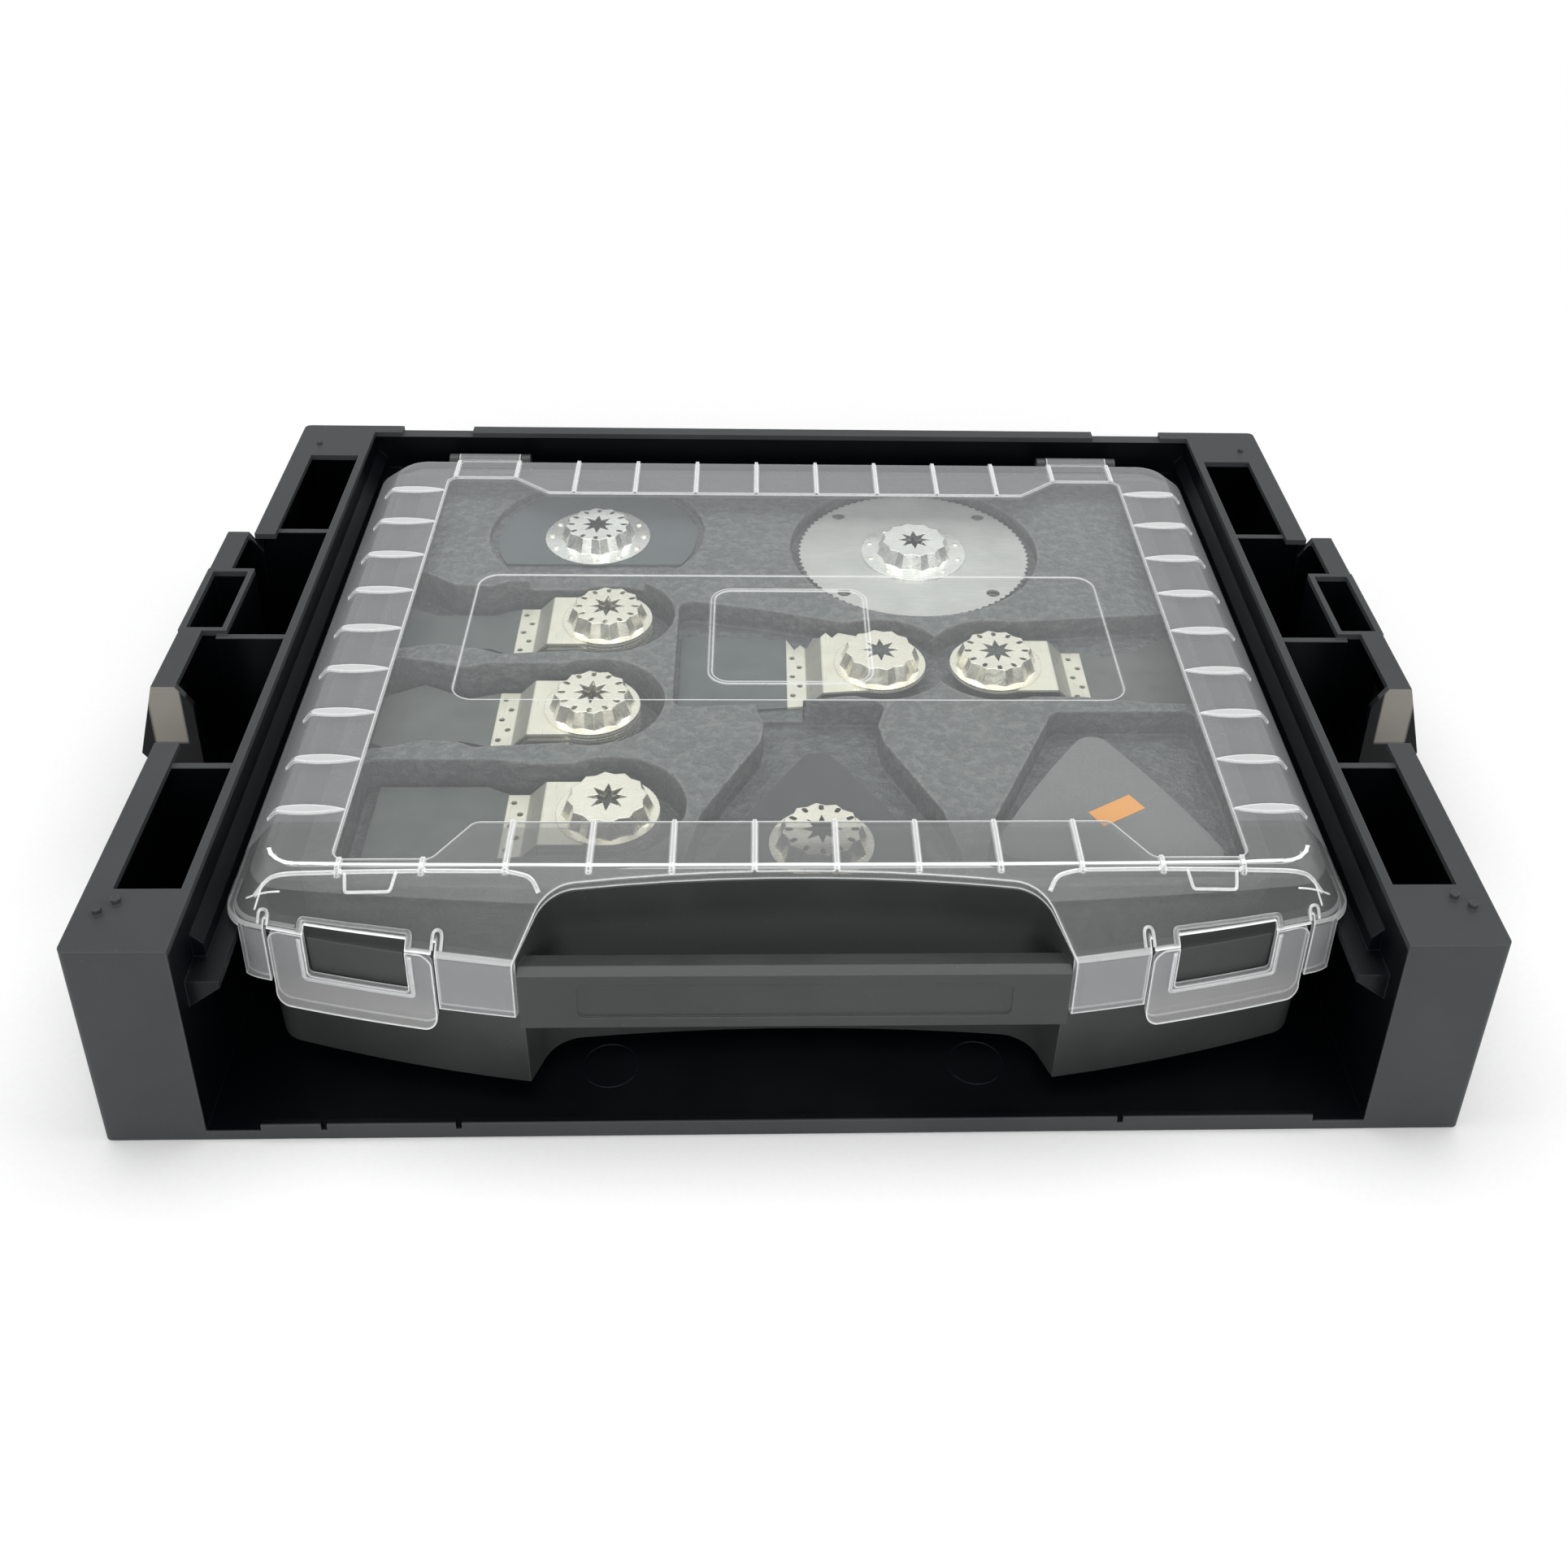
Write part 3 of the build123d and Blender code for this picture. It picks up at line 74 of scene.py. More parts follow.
# ---------------------------------------------------------------- camera
def make_camera():
    """Camera of the photograph, from its fitted angles, place, focal length and picture centre."""
    pitch, yaw, roll = (math.radians(angle) for angle in (CAMERA_PITCH, CAMERA_YAW, CAMERA_ROLL))
    forward = Vector((
        math.sin(yaw) * math.cos(pitch), math.cos(yaw) * math.cos(pitch), -math.sin(pitch),
    ))
    level = Vector((math.cos(yaw), -math.sin(yaw), 0.0))
    upright = level.cross(forward)
    right = math.cos(roll) * level + math.sin(roll) * upright
    up = -math.sin(roll) * level + math.cos(roll) * upright
    data = bpy.data.cameras.new("photo_camera")
    data.sensor_width = SENSOR_MM
    data.lens = FOCAL_PX / FRAME_PX * SENSOR_MM
    data.shift_x = -(CENTRE_PX[0] - FRAME_PX / 2) / FRAME_PX
    data.shift_y = (CENTRE_PX[1] - FRAME_PX / 2) / FRAME_PX
    data.clip_start = 0.02
    data.clip_end = 60.0
    camera = bpy.data.objects.new("photo_camera", data)
    scene.collection.objects.link(camera)
    turn = Matrix((right, up, -forward)).transposed().to_4x4()
    camera.matrix_world = Matrix.Translation(CAMERA_PLACE) @ turn
    scene.camera = camera


# ---------------------------------------------------------------- node helpers
class Tree:
    """Short way to build a node tree: add() makes any node, the others make common groups of them."""

    def __init__(self, owner):
        owner.use_nodes = True
        self.tree = owner.node_tree
        self.tree.nodes.clear()

    def add(self, kind, inputs=None, **settings):
        node = self.tree.nodes.new("ShaderNode" + kind)
        for key, value in settings.items():
            setattr(node, key, value)
        for key, value in (inputs or {}).items():
            if isinstance(value, bpy.types.NodeSocket):
                self.tree.links.new(value, node.inputs[key])
            else:
                node.inputs[key].default_value = value
        return node

    def math(self, operation, first, second=0.0, third=0.0, clamp=False):
        inputs = {0: first, 1: second, 2: third}
        return self.add("Math", inputs, operation=operation, use_clamp=clamp).outputs[0]

    def times(self, first, *others):
        for other in others:
            first = self.math("MULTIPLY", first, other)
        return first

    def largest(self, first, *others):
        for other in others:
            first = self.math("MAXIMUM", first, other)
        return first

    def invert(self, share):
        return self.math("SUBTRACT", 1.0, share)

    def above(self, value, limit):
        return self.math("GREATER_THAN", value, limit)

    def below(self, value, limit):
        return self.math("LESS_THAN", value, limit)

    def axes(self, vector):
        return self.add("SeparateXYZ", {0: vector}).outputs

    def object_place(self):
        return self.add("TexCoord").outputs["Object"]

    def remap(self, value, low, high, to_low=0.0, to_high=1.0):
        inputs = {0: value, 1: low, 2: high, 3: to_low, 4: to_high}
        return self.add("MapRange", inputs).outputs[0]

    def noise(self, vector, scale, detail, rough):
        inputs = {"Vector": vector, "Scale": scale, "Detail": detail, "Roughness": rough}
        return self.add("TexNoise", inputs).outputs["Fac"]

    def mix(self, factor, first, second):
        """Blend of two colours; 6, 7 and 2 are the Mix node's colour sockets."""
        return self.add("Mix", {0: factor, 6: first, 7: second}, data_type="RGBA").outputs[2]

    def rounded(self, radius):
        """Normal as if every edge had this radius."""
        return self.add("Bevel", {"Radius": radius}, samples=4).outputs[0]

    def edge(self, radius, low, high):
        """Mask of the sharp edges: how far a rounded normal turns from the plain one."""
        plain = self.add("NewGeometry").outputs["Normal"]
        inputs = {0: plain, 1: self.rounded(radius)}
        same = self.add("VectorMath", inputs, operation="DOT_PRODUCT").outputs["Value"]
        return self.remap(self.invert(same), low, high)

    def stretched(self, vector, scale):
        """The same coordinates with another scale on each axis, for rolling lines."""
        return self.add("Mapping", {"Vector": vector, "Scale": scale}).outputs[0]

    def bump(self, height, strength, distance, normal=None):
        inputs = {"Height": height, "Strength": strength, "Distance": distance}
        if normal is not None:
            inputs["Normal"] = normal
        return self.add("Bump", inputs).outputs[0]

    def surface(self, tone, rough, normal, **inputs):
        """Principled shader; further inputs, such as IOR or Metallic, go by their names."""
        values = {"Base Color": tone, "Roughness": rough, "Normal": normal, **inputs}
        return self.add("BsdfPrincipled", values).outputs[0]

    def out(self, shader):
        self.add("OutputMaterial", {"Surface": shader})


def rgb(red, green, blue):
    """Opaque colour for a node input."""
    return (red, green, blue, 1.0)


def new_material(name):
    """Empty material and the tree to build it in."""
    material = bpy.data.materials.new(name)
    return material, Tree(material)


# ---------------------------------------------------------------- materials
def rack_outside(t, coords):
    """1 on the textured outer faces of the rack, 0 on its polished inside, where the colour is painted far
    darker as shade.
    """
    place, lean = t.axes(coords["Object"]), t.axes(coords["Normal"])
    outward = t.times(lean[0], t.math("SIGN", place[0]))
    beyond_wall = t.above(t.math("ABSOLUTE", place[0]), RACK_WALL)
    sideways = t.above(outward, 0.3)
    grip = t.times(t.largest(sideways, t.above(lean[2], 0.5)), beyond_wall, t.above(place[2], GRIP_FOOT))
    wall = t.times(sideways, beyond_wall)
    top = t.above(place[2], RACK_TOP)
    front = t.below(place[1], RACK_FRONT)
    rear = t.above(place[1], RACK_REAR)
    return t.largest(top, front, rear, grip, wall)


def grip_front_highlight(t, coords):
    """1 on the front end of each side grip, glossy from rubbing and painted a pale warm highlight."""
    place = t.axes(coords["Object"])
    across = t.math("ABSOLUTE", place[0])
    return t.times(
        t.remap(across, *GRIP_END_INNER), t.remap(across, *GRIP_END_OUTER),
        t.remap(place[2], *GRIP_END_FOOT),
        t.below(place[1], GRIP_END_BACK), t.above(place[1], GRIP_END_FRONT),
        t.below(t.axes(coords["Normal"])[1], -0.5),
    )


def moulded_plastic(name, dark, light, roughness, ior, inner=None):
    """Moulded plastic: fine spark-eroded grain, faint flow marks, lighter edges that are partly wear from
    rubbing and partly a painted highlight.

    inner is the colour of the rack's polished inside, painted far darker than the outside as shade; with
    it, the grips' front ends get gloss from rubbing too, and a pale painted highlight.
    """
    material, t = new_material(name)
    coords = t.add("TexCoord").outputs
    place = coords["Object"]
    flow = t.noise(place, 22.0, 4.0, 0.6)
    fine = t.noise(place, 1400.0, 2.0, 0.6)
    specks = t.remap(t.noise(place, 480.0, 2.0, 0.7), 0.70, 0.76)
    worn_and_highlit_edges = t.edge(0.0007, 0.004, 0.16)
    tone = t.mix(t.remap(flow, 0.35, 0.65), rgb(*dark), rgb(*light))
    # Lighter edges: partly wear from rubbing, partly a painted highlight.
    rubbed_and_highlit = tuple(min(1.0, 1.9 * c + 0.012) for c in light)
    tone = t.mix(t.times(worn_and_highlit_edges, 0.75), tone, rgb(*rubbed_and_highlit))
    tone = t.mix(t.times(specks, 0.08), tone, rgb(0.25, 0.25, 0.25))
    rough = t.remap(flow, 0.3, 0.7, roughness - 0.06, roughness + 0.06)
    rough = t.math("SUBTRACT", rough, t.times(worn_and_highlit_edges, 0.14))
    grain = 0.35
    if inner:
        outer = rack_outside(t, coords)
        # Painted shade: the inside takes the far darker inner colour; its lower roughness is the real
        # polished finish.
        polish_and_painted_shade = t.mix(t.times(worn_and_highlit_edges, 0.6), rgb(*inner), rgb(*[9.0 * c for c in inner]))
        tone = t.mix(outer, polish_and_painted_shade, tone)
        rough = t.math("SUBTRACT", rough, t.times(t.invert(outer), 0.16))
        painted_grip_highlight = grip_front_highlight(t, coords)
        # Painted highlight: pale warm colour on the grips' front ends; their lower roughness is real gloss
        # from rubbing.
        tone = t.mix(painted_grip_highlight, tone, rgb(0.24, 0.225, 0.20))
        rough = t.math("SUBTRACT", rough, t.times(painted_grip_highlight, 0.14))
        grain = t.math("MULTIPLY_ADD", outer, 0.27, 0.08)
    normal = t.bump(fine, grain, 0.00012, t.rounded(0.0006))
    t.out(t.surface(tone, rough, normal, IOR=ior))
    return material


def lid_zones(t, place):
    """Masks of the lid: polished panel, frame around it, and the front's ledge, slope and upright face."""
    axes = t.axes(place)
    across = t.math("ABSOLUTE", axes[0])
    front, rear = t.remap(across, *PANEL_FRONT_CUT), t.remap(across, *PANEL_REAR_CUT)
    upper = t.above(axes[2], LID_UPPER)
    panel = t.times(t.below(across, PANEL_SIDE), t.above(axes[1], front), t.below(axes[1], rear), upper)
    before = t.below(axes[1], LID_FRONT)
    face = t.times(t.below(axes[2], SKIRT_TOP), before)
    around = t.times(t.invert(panel), t.invert(before))
    above_face = t.math("SUBTRACT", before, face)
    ledge = t.times(above_face, upper)
    slope = t.math("SUBTRACT", above_face, ledge)
    ledge = t.times(ledge, t.invert(panel))
    return {"panel": panel, "around": around, "ledge": ledge, "slope": slope, "face": face}


def lid_glints(t, coords):
    """Bright lines that rounded ridges, kinks and ribs of clear plastic show."""
    axes = t.axes(coords["Object"])
    lean = t.axes(coords["Normal"])[2]
    front = t.below(axes[1], GLINT_FRONT)
    lines = []
    for low, high, bottom, top, amount in (
        (0.945, 0.994, 0.0770, 0.0810, 0.9), (0.30, 0.85, 0.0652, 0.0668, 0.55),
    ):
        lines.append(t.times(
            t.above(lean, low), t.below(lean, high), t.above(axes[2], bottom), t.below(axes[2], top),
            front, amount,
        ))
    return t.largest(*lines, t.times(t.above(axes[2], RIB_TOP), 0.55))


def clear_plastic(name, lip=None):
    """Clear moulded plastic: polished centre panel, textured frame and scuffs, white painted highlights on
    edges, ridges and ribs, and painted shade and light on the front ledge, slope and upright face.

    lip is the height at the top of a lower lip with a warm painted highlight, for the tabs.
    """
    material, t = new_material(name)
    coords = t.add("TexCoord").outputs
    place = coords["Object"]
    flow = t.noise(place, 30.0, 3.0, 0.6)
    scuffs = t.remap(t.noise(place, 260.0, 4.0, 0.75), 0.60, 0.72)
    # Painted highlights: sharp edges, and ridges, kinks and ribs from lid_glints, turn a near-opaque white.
    edges = t.edge(0.0012, 0.003, 0.18)
    edges = t.largest(edges, t.times(lid_glints(t, coords), 0.85))
    facing = t.add("LayerWeight", {"Blend": 0.5}).outputs["Facing"]
    glance = t.math("MULTIPLY_ADD", t.math("POWER", facing, 5.0), 0.92, 0.04)
    zones = lid_zones(t, place)
    haze = t.remap(flow, 0.3, 0.7, 0.008, 0.020)
    for zone, amount in (("around", 0.38), ("ledge", 0.40), ("slope", 0.24), ("face", 0.24)):
        haze = t.math("MULTIPLY_ADD", zones[zone], amount, haze)
    haze = t.math("MULTIPLY_ADD", scuffs, 0.02, haze)
    haze = t.math("MULTIPLY_ADD", edges, 0.80, haze)
    share = t.math("ADD", haze, glance, clamp=True)
    tone = t.mix(zones["panel"], rgb(0.340, 0.350, 0.355), rgb(0.80, 0.82, 0.83))
    # Painted shade and light: the ledge and slope of this one clear plastic are toned darker, and its
    # upright face lighter, for how the lamps fall.
    tone = t.mix(zones["ledge"], tone, rgb(0.235, 0.24, 0.24))
    tone = t.mix(zones["slope"], tone, rgb(0.165, 0.17, 0.17))
    tone = t.mix(zones["face"], tone, rgb(0.50, 0.51, 0.52))
    if lip:
        # Painted highlight: warm tone on the tabs' lower lip.
        low = t.remap(t.axes(place)[2], lip, lip - LIP_HEIGHT)
        tone = t.mix(t.times(low, 0.6), tone, rgb(0.60, 0.595, 0.575))
    # Painted highlight: white colour on the edges, ridges and ribs.
    tone = t.mix(edges, tone, rgb(0.96, 0.97, 0.97))
    normal = t.bump(t.noise(place, 900.0, 2.0, 0.5), 0.12, 0.00008)
    rough = t.remap(flow, 0.3, 0.7, 0.10, 0.18)
    rough = t.math("MULTIPLY_ADD", t.invert(zones["panel"]), 0.12, rough)
    body = t.surface(tone, rough, normal, IOR=1.5)
    clear = t.add("BsdfTransparent", {"Color": rgb(0.955, 0.965, 0.965)})
    mixed = t.add("MixShader", {0: share, 1: clear.outputs[0], 2: body})
    t.out(mixed.outputs[0])
    return material


def formed_sheet(name):
    """Thermoformed grey tray sheet with a leather-like grain, painted highlights on its stretched ridges
    and painted shade down in its pockets.
    """
    material, t = new_material(name)
    place = t.object_place()
    pebble = t.noise(place, 230.0, 3.0, 0.60)
    broad = t.noise(place, 26.0, 3.0, 0.55)
    edges = t.edge(0.0022, 0.01, 0.25)
    painted_pocket_shade = t.remap(t.axes(place)[2], POCKET_EDGE, POCKET_FLOOR)
    tone = t.mix(t.remap(broad, 0.3, 0.7), rgb(0.090, 0.097, 0.095), rgb(0.128, 0.135, 0.131))
    tone = t.mix(t.times(t.remap(pebble, 0.47, 0.60), 0.42), tone, rgb(0.23, 0.235, 0.225))
    # Painted highlight: lighter colour on the formed ridges and edges.
    tone = t.mix(t.times(edges, 0.45), tone, rgb(0.42, 0.43, 0.42))
    # Painted shade: darker towards the pocket floors.
    tone = t.mix(t.times(painted_pocket_shade, 0.30), tone, rgb(0.050, 0.054, 0.055))
    normal = t.bump(pebble, 0.9, 0.0026, t.rounded(0.0018))
    rough = t.remap(pebble, 0.4, 0.65, 0.55, 0.38)
    t.out(t.surface(tone, rough, normal, IOR=1.5))
    return material


def stamped_steel(name, tone_low, tone_high, metallic, roughness, scratch=0.5):
    """Pressed sheet steel: fine rolling lines, dull patches, and near-white painted highlights on folds and
    edges.
    """
    material, t = new_material(name)
    place = t.object_place()
    rolled = t.noise(t.stretched(place, (90.0, 1500.0, 90.0)), 1.0, 3.0, 0.6)
    patches = t.noise(place, 60.0, 3.0, 0.6)
    edges = t.edge(0.0005, 0.01, 0.30)
    tone = t.mix(t.remap(patches, 0.3, 0.7), rgb(*tone_low), rgb(*tone_high))
    dull = t.times(t.remap(rolled, 0.35, 0.65), 0.16 * scratch)
    tone = t.mix(dull, tone, rgb(0.16, 0.16, 0.15))
    # Painted highlight: near-white colour on folds and edges.
    tone = t.mix(t.times(edges, 0.5), tone, rgb(0.95, 0.94, 0.90))
    rough = t.remap(rolled, 0.3, 0.7, roughness - 0.08, roughness + 0.08)
    normal = t.bump(rolled, 0.10 * scratch, 0.00002, t.rounded(0.0004))
    t.out(t.surface(tone, rough, normal, Metallic=metallic))
    return material


def blade_steel(name, hub_x, sign, dark):
    """Blade with a bare mount end crossed by a dull strip, and a dark coated working end.

    hub_x is the middle of its mount and sign the way along x in which the blade points.
    """
    material, t = new_material(name)
    place = t.object_place()
    reach = t.times(t.math("SUBTRACT", t.axes(place)[0], hub_x), sign)
    coated = t.remap(reach, COATING_START - COATING_BLEND, COATING_START + COATING_BLEND)
    strip = t.times(t.remap(reach, *STRIP_START), t.remap(reach, *STRIP_END))
    rolled = t.noise(t.stretched(place, (2300.0, 70.0, 400.0)), 1.0, 3.0, 0.6)
    patches = t.noise(place, 75.0, 4.0, 0.65)
    edges = t.edge(0.0004, 0.01, 0.30)
    blotch = t.remap(patches, 0.3, 0.7)
    bare = t.mix(blotch, rgb(*BARE_STEEL), rgb(*[0.86 * c for c in BARE_STEEL]))
    bare = t.mix(t.times(strip, 0.55), bare, rgb(0.20, 0.20, 0.19))
    coat = t.mix(blotch, rgb(*dark), rgb(*[1.45 * c for c in dark]))
    tone = t.mix(coated, bare, coat)
    tone = t.mix(t.times(edges, 0.45), tone, rgb(0.75, 0.75, 0.72))
    rough = t.math("ADD", t.remap(rolled, 0.3, 0.7, 0.26, 0.42), t.times(coated, 0.12))
    normal = t.bump(rolled, 0.15, 0.00005, t.rounded(0.0003))
    metal = t.math("SUBTRACT", 0.45, t.times(coated, 0.25))
    t.out(t.surface(tone, rough, normal, Metallic=metal))
    return material


def grit(name, low, high, scale, strength, roughness=0.8):
    """Bonded grit or foam: coarse speckle in colour and relief."""
    material, t = new_material(name)
    place = t.object_place()
    grains = t.noise(place, scale, 3.0, 0.7)
    patches = t.noise(place, 55.0, 3.0, 0.6)
    edges = t.edge(0.0005, 0.01, 0.3)
    tone = t.mix(t.remap(grains, 0.38, 0.64), rgb(*low), rgb(*high))
    tone = t.mix(t.times(t.remap(patches, 0.35, 0.7), 0.25), tone, rgb(*high))
    tone = t.mix(t.times(edges, 0.4), tone, rgb(*[min(1.0, 1.8 * c) for c in high]))
    rough = t.remap(grains, 0.35, 0.65, roughness - 0.12, roughness + 0.08)
    t.out(t.surface(tone, rough, t.bump(grains, strength, 0.0002)))
    return material


def printed_label(name):
    """Bare printed label with paper fibre and a soft sheen."""
    material, t = new_material(name)
    fibre = t.noise(t.object_place(), 1800.0, 3.0, 0.6)
    tone = t.mix(t.remap(fibre, 0.3, 0.7), rgb(0.86, 0.34, 0.055), rgb(0.95, 0.42, 0.085))
    rough = t.remap(fibre, 0.3, 0.7, 0.42, 0.55)
    t.out(t.surface(tone, rough, t.bump(fibre, 0.15, 0.00005)))
    return material


def dress(node_name, material):
    """Give a CAD node one material on all of its slots."""
    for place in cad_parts[node_name].material_slots:
        place.material = material


def dress_all():
    """Materials of the CAD nodes; returns the ones that the small pieces share."""
    rack = moulded_plastic(
        "rack_plastic", (0.036, 0.0395, 0.0410), (0.044, 0.0475, 0.0490), 0.50, 1.27,
        # inner: colour of the polished inside, painted far darker as shade
        inner=(0.0012, 0.0017, 0.0026),
    )
    base = moulded_plastic("base_plastic", (0.029, 0.0315, 0.0305), (0.038, 0.041, 0.0395), 0.40, 1.40)
    clear = clear_plastic("clear_plastic")
    tab = clear_plastic("tab_plastic", TAB_LIP)
    tray = formed_sheet("tray_sheet")
    cream = stamped_steel("mount_steel", (0.86, 0.82, 0.69), (0.97, 0.93, 0.80), 0.82, 0.26)
    grey = stamped_steel("large_mount_steel", (0.76, 0.76, 0.72), (0.90, 0.90, 0.86), 0.85, 0.26)
    disc = stamped_steel("round_blade_steel", (0.55, 0.55, 0.525), (0.66, 0.66, 0.63), 0.50, 0.36, 1.0)
    segment = grit("segment_coating", (0.055, 0.065, 0.068), (0.11, 0.125, 0.13), 1500.0, 0.35, 0.6)
    foam = grit("pad_foam", (0.035, 0.035, 0.037), (0.07, 0.07, 0.072), 900.0, 0.4)
    abrasive = grit("sheet_abrasive", (0.15, 0.155, 0.152), (0.23, 0.235, 0.225), 2200.0, 0.5)
    label = printed_label("orange_label")
    pin = stamped_steel("pin_steel", (0.42, 0.42, 0.42), (0.55, 0.55, 0.55), 0.9, 0.3)
    table = {
        "rack_frame": rack, "case_base": base, "case_lid": clear, "latch_tab_left": tab,
        "latch_tab_right": tab, "hinge_pin_left": pin, "hinge_pin_right": pin,
        "insert_tray": tray, "segment_blade": segment, "segment_blade_mount": grey,
        "segment_blade_rivets": cream, "round_blades": disc, "round_blade_mounts": grey,
        "sanding_pad": foam, "sanding_pad_mount": cream, "sanding_sheets": abrasive,
        "grit_label": label,
    }
    for name, hub_x, sign, dark in (
        ("rear_plunge", -0.0728, -1.0, (0.070, 0.080, 0.076)),
        ("middle_plunge", -0.0742, -1.0, (0.082, 0.090, 0.082)),
        ("front_plunge", -0.0639, -1.0, (0.075, 0.083, 0.078)),
        ("wide_serrated", 0.0352, -1.0, (0.075, 0.086, 0.084)),
        ("scraper", 0.0806, 1.0, (0.090, 0.096, 0.086)),
    ):
        table[name + "_blades"] = blade_steel(name + "_steel", hub_x, sign, dark)
        table[name + "_mounts"] = cream
    for node_name, material in table.items():
        dress(node_name, material)
    return {"rack": rack, "clear": clear, "steel": cream}


# ---------------------------------------------------------------- small moulded detail
def finder(node_name):
    """Search tree over the mesh of a CAD node, for seating small pieces on its surface."""
    build = bmesh.new()
    build.from_mesh(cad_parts[node_name].data)
    tree = BVHTree.FromBMesh(build)
    build.free()
    return tree


def round_path(corners, radius, step=1.2):
    """Open path through 2-D corners in mm, with rounded bends and even steps."""
    bend_parts, longest_bend = 6, 0.45
    corners = [Vector(c) for c in corners]
    path = [corners[0]]
    for before, corner, after in zip(corners, corners[1:], corners[2:]):
        legs = (before - corner, after - corner)
        reach = min(radius, *[longest_bend * leg.length for leg in legs])
        start, end = (corner + leg.normalized() * reach for leg in legs)
        for part in range(bend_parts + 1):
            share = part / bend_parts
            path.append(
                (1 - share) ** 2 * start + 2 * share * (1 - share) * corner + share ** 2 * end
            )
    path.append(corners[-1])
    even = [path[0]]
    for first, second in zip(path, path[1:]):
        pieces = max(1, int(math.ceil((second - first).length / step)))
        for part in range(1, pieces + 1):
            even.append(first.lerp(second, part / pieces))
    return even


def seat(tree, path, lift):
    """Points and normals in metres where lift(point) = (origin, direction) meets the surface."""
    places = []
    for point in path:
        origin, direction = lift(point)
        hit, normal = tree.ray_cast(Vector(origin) * MM, Vector(direction))[:2]
        if hit is None:
            continue
        if normal.dot(Vector(direction)) > 0:
            normal = -normal
        places.append((hit, normal.normalized()))
    return places


def bead(name, places, material, body, width, height, closed=False):
    """Raised bead with a rounded section, in shares of its width and height, along surface places."""
    build = bmesh.new()
    count = len(places)
    profile = [
        (-0.5, -0.35), (-0.46, 0.45), (-0.24, 0.88), (0.0, 1.0), (0.24, 0.88), (0.46, 0.45), (0.5, -0.35),
    ]
    size = len(profile)
    rings = []
    for index, (point, normal) in enumerate(places):
        before = places[index - 1][0] if index or closed else point
        after = places[(index + 1) % count][0] if index < count - 1 or closed else point
        along = (after - before).normalized()
        across = along.cross(normal).normalized()
        rings.append([
            build.verts.new(point + across * (width * MM * a) + normal * (height * MM * h))
            for a, h in profile
        ])
    pairs = list(zip(rings, rings[1:]))
    if closed:
        pairs.append((rings[-1], rings[0]))
    for first, second in pairs:
        for index in range(size):
            following = (index + 1) % size
            build.faces.new((first[index], first[following], second[following], second[index]))
    if not closed:
        build.faces.new(rings[0])
        build.faces.new(list(reversed(rings[-1])))
    return finish_piece(name, build, material, body)


def studs(name, node_name, spots, material, body, radius, height):
    """Small domed heads, with a profile in shares of radius and height, on top of a CAD node."""
    build = bmesh.new()
    profile = [(1.0, -0.1), (0.97, 0.35), (0.80, 0.72), (0.45, 0.95)]
    sides = 16
    for foot, _ in seat(finder(node_name), [Vector(spot) for spot in spots], from_above(95.0)):
        rings = []
        for out, up in profile:
            rings.append([
                build.verts.new(foot + Vector((
                    math.cos(2 * math.pi * k / sides) * radius * out,
                    math.sin(2 * math.pi * k / sides) * radius * out,
                    height * up,
                )) * MM)
                for k in range(sides)
            ])
        crown = build.verts.new(foot + Vector((0, 0, height)) * MM)
        for k in range(sides):
            following = (k + 1) % sides
            for low, high in zip(rings, rings[1:]):
                build.faces.new((low[k], low[following], high[following], high[k]))
            build.faces.new((rings[-1][k], rings[-1][following], crown))
        build.faces.new(list(reversed(rings[0])))
    return finish_piece(name, build, material, body)


def finish_piece(name, build, material, body):
    """Mesh object of a finished bmesh, smooth, with its material and body."""
    bmesh.ops.recalc_face_normals(build, faces=build.faces)
    mesh = bpy.data.meshes.new(name)
    build.to_mesh(mesh)
    build.free()
    for polygon in mesh.polygons:
        polygon.use_smooth = True
    piece = bpy.data.objects.new(name, mesh)
    scene.collection.objects.link(piece)
    piece.data.materials.append(material)
    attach(piece, body)
    return piece


def from_above(height):
    """Lift for seat(): straight down on a point (x, y)."""
    return lambda point: ((point.x, point.y, height), (0.0, 0.0, -1.0))


def from_front(depth):
    """Lift for seat(): straight back from in front of a point (x, z)."""
    return lambda point: ((point.x, depth, point.y), (0.0, 1.0, 0.0))


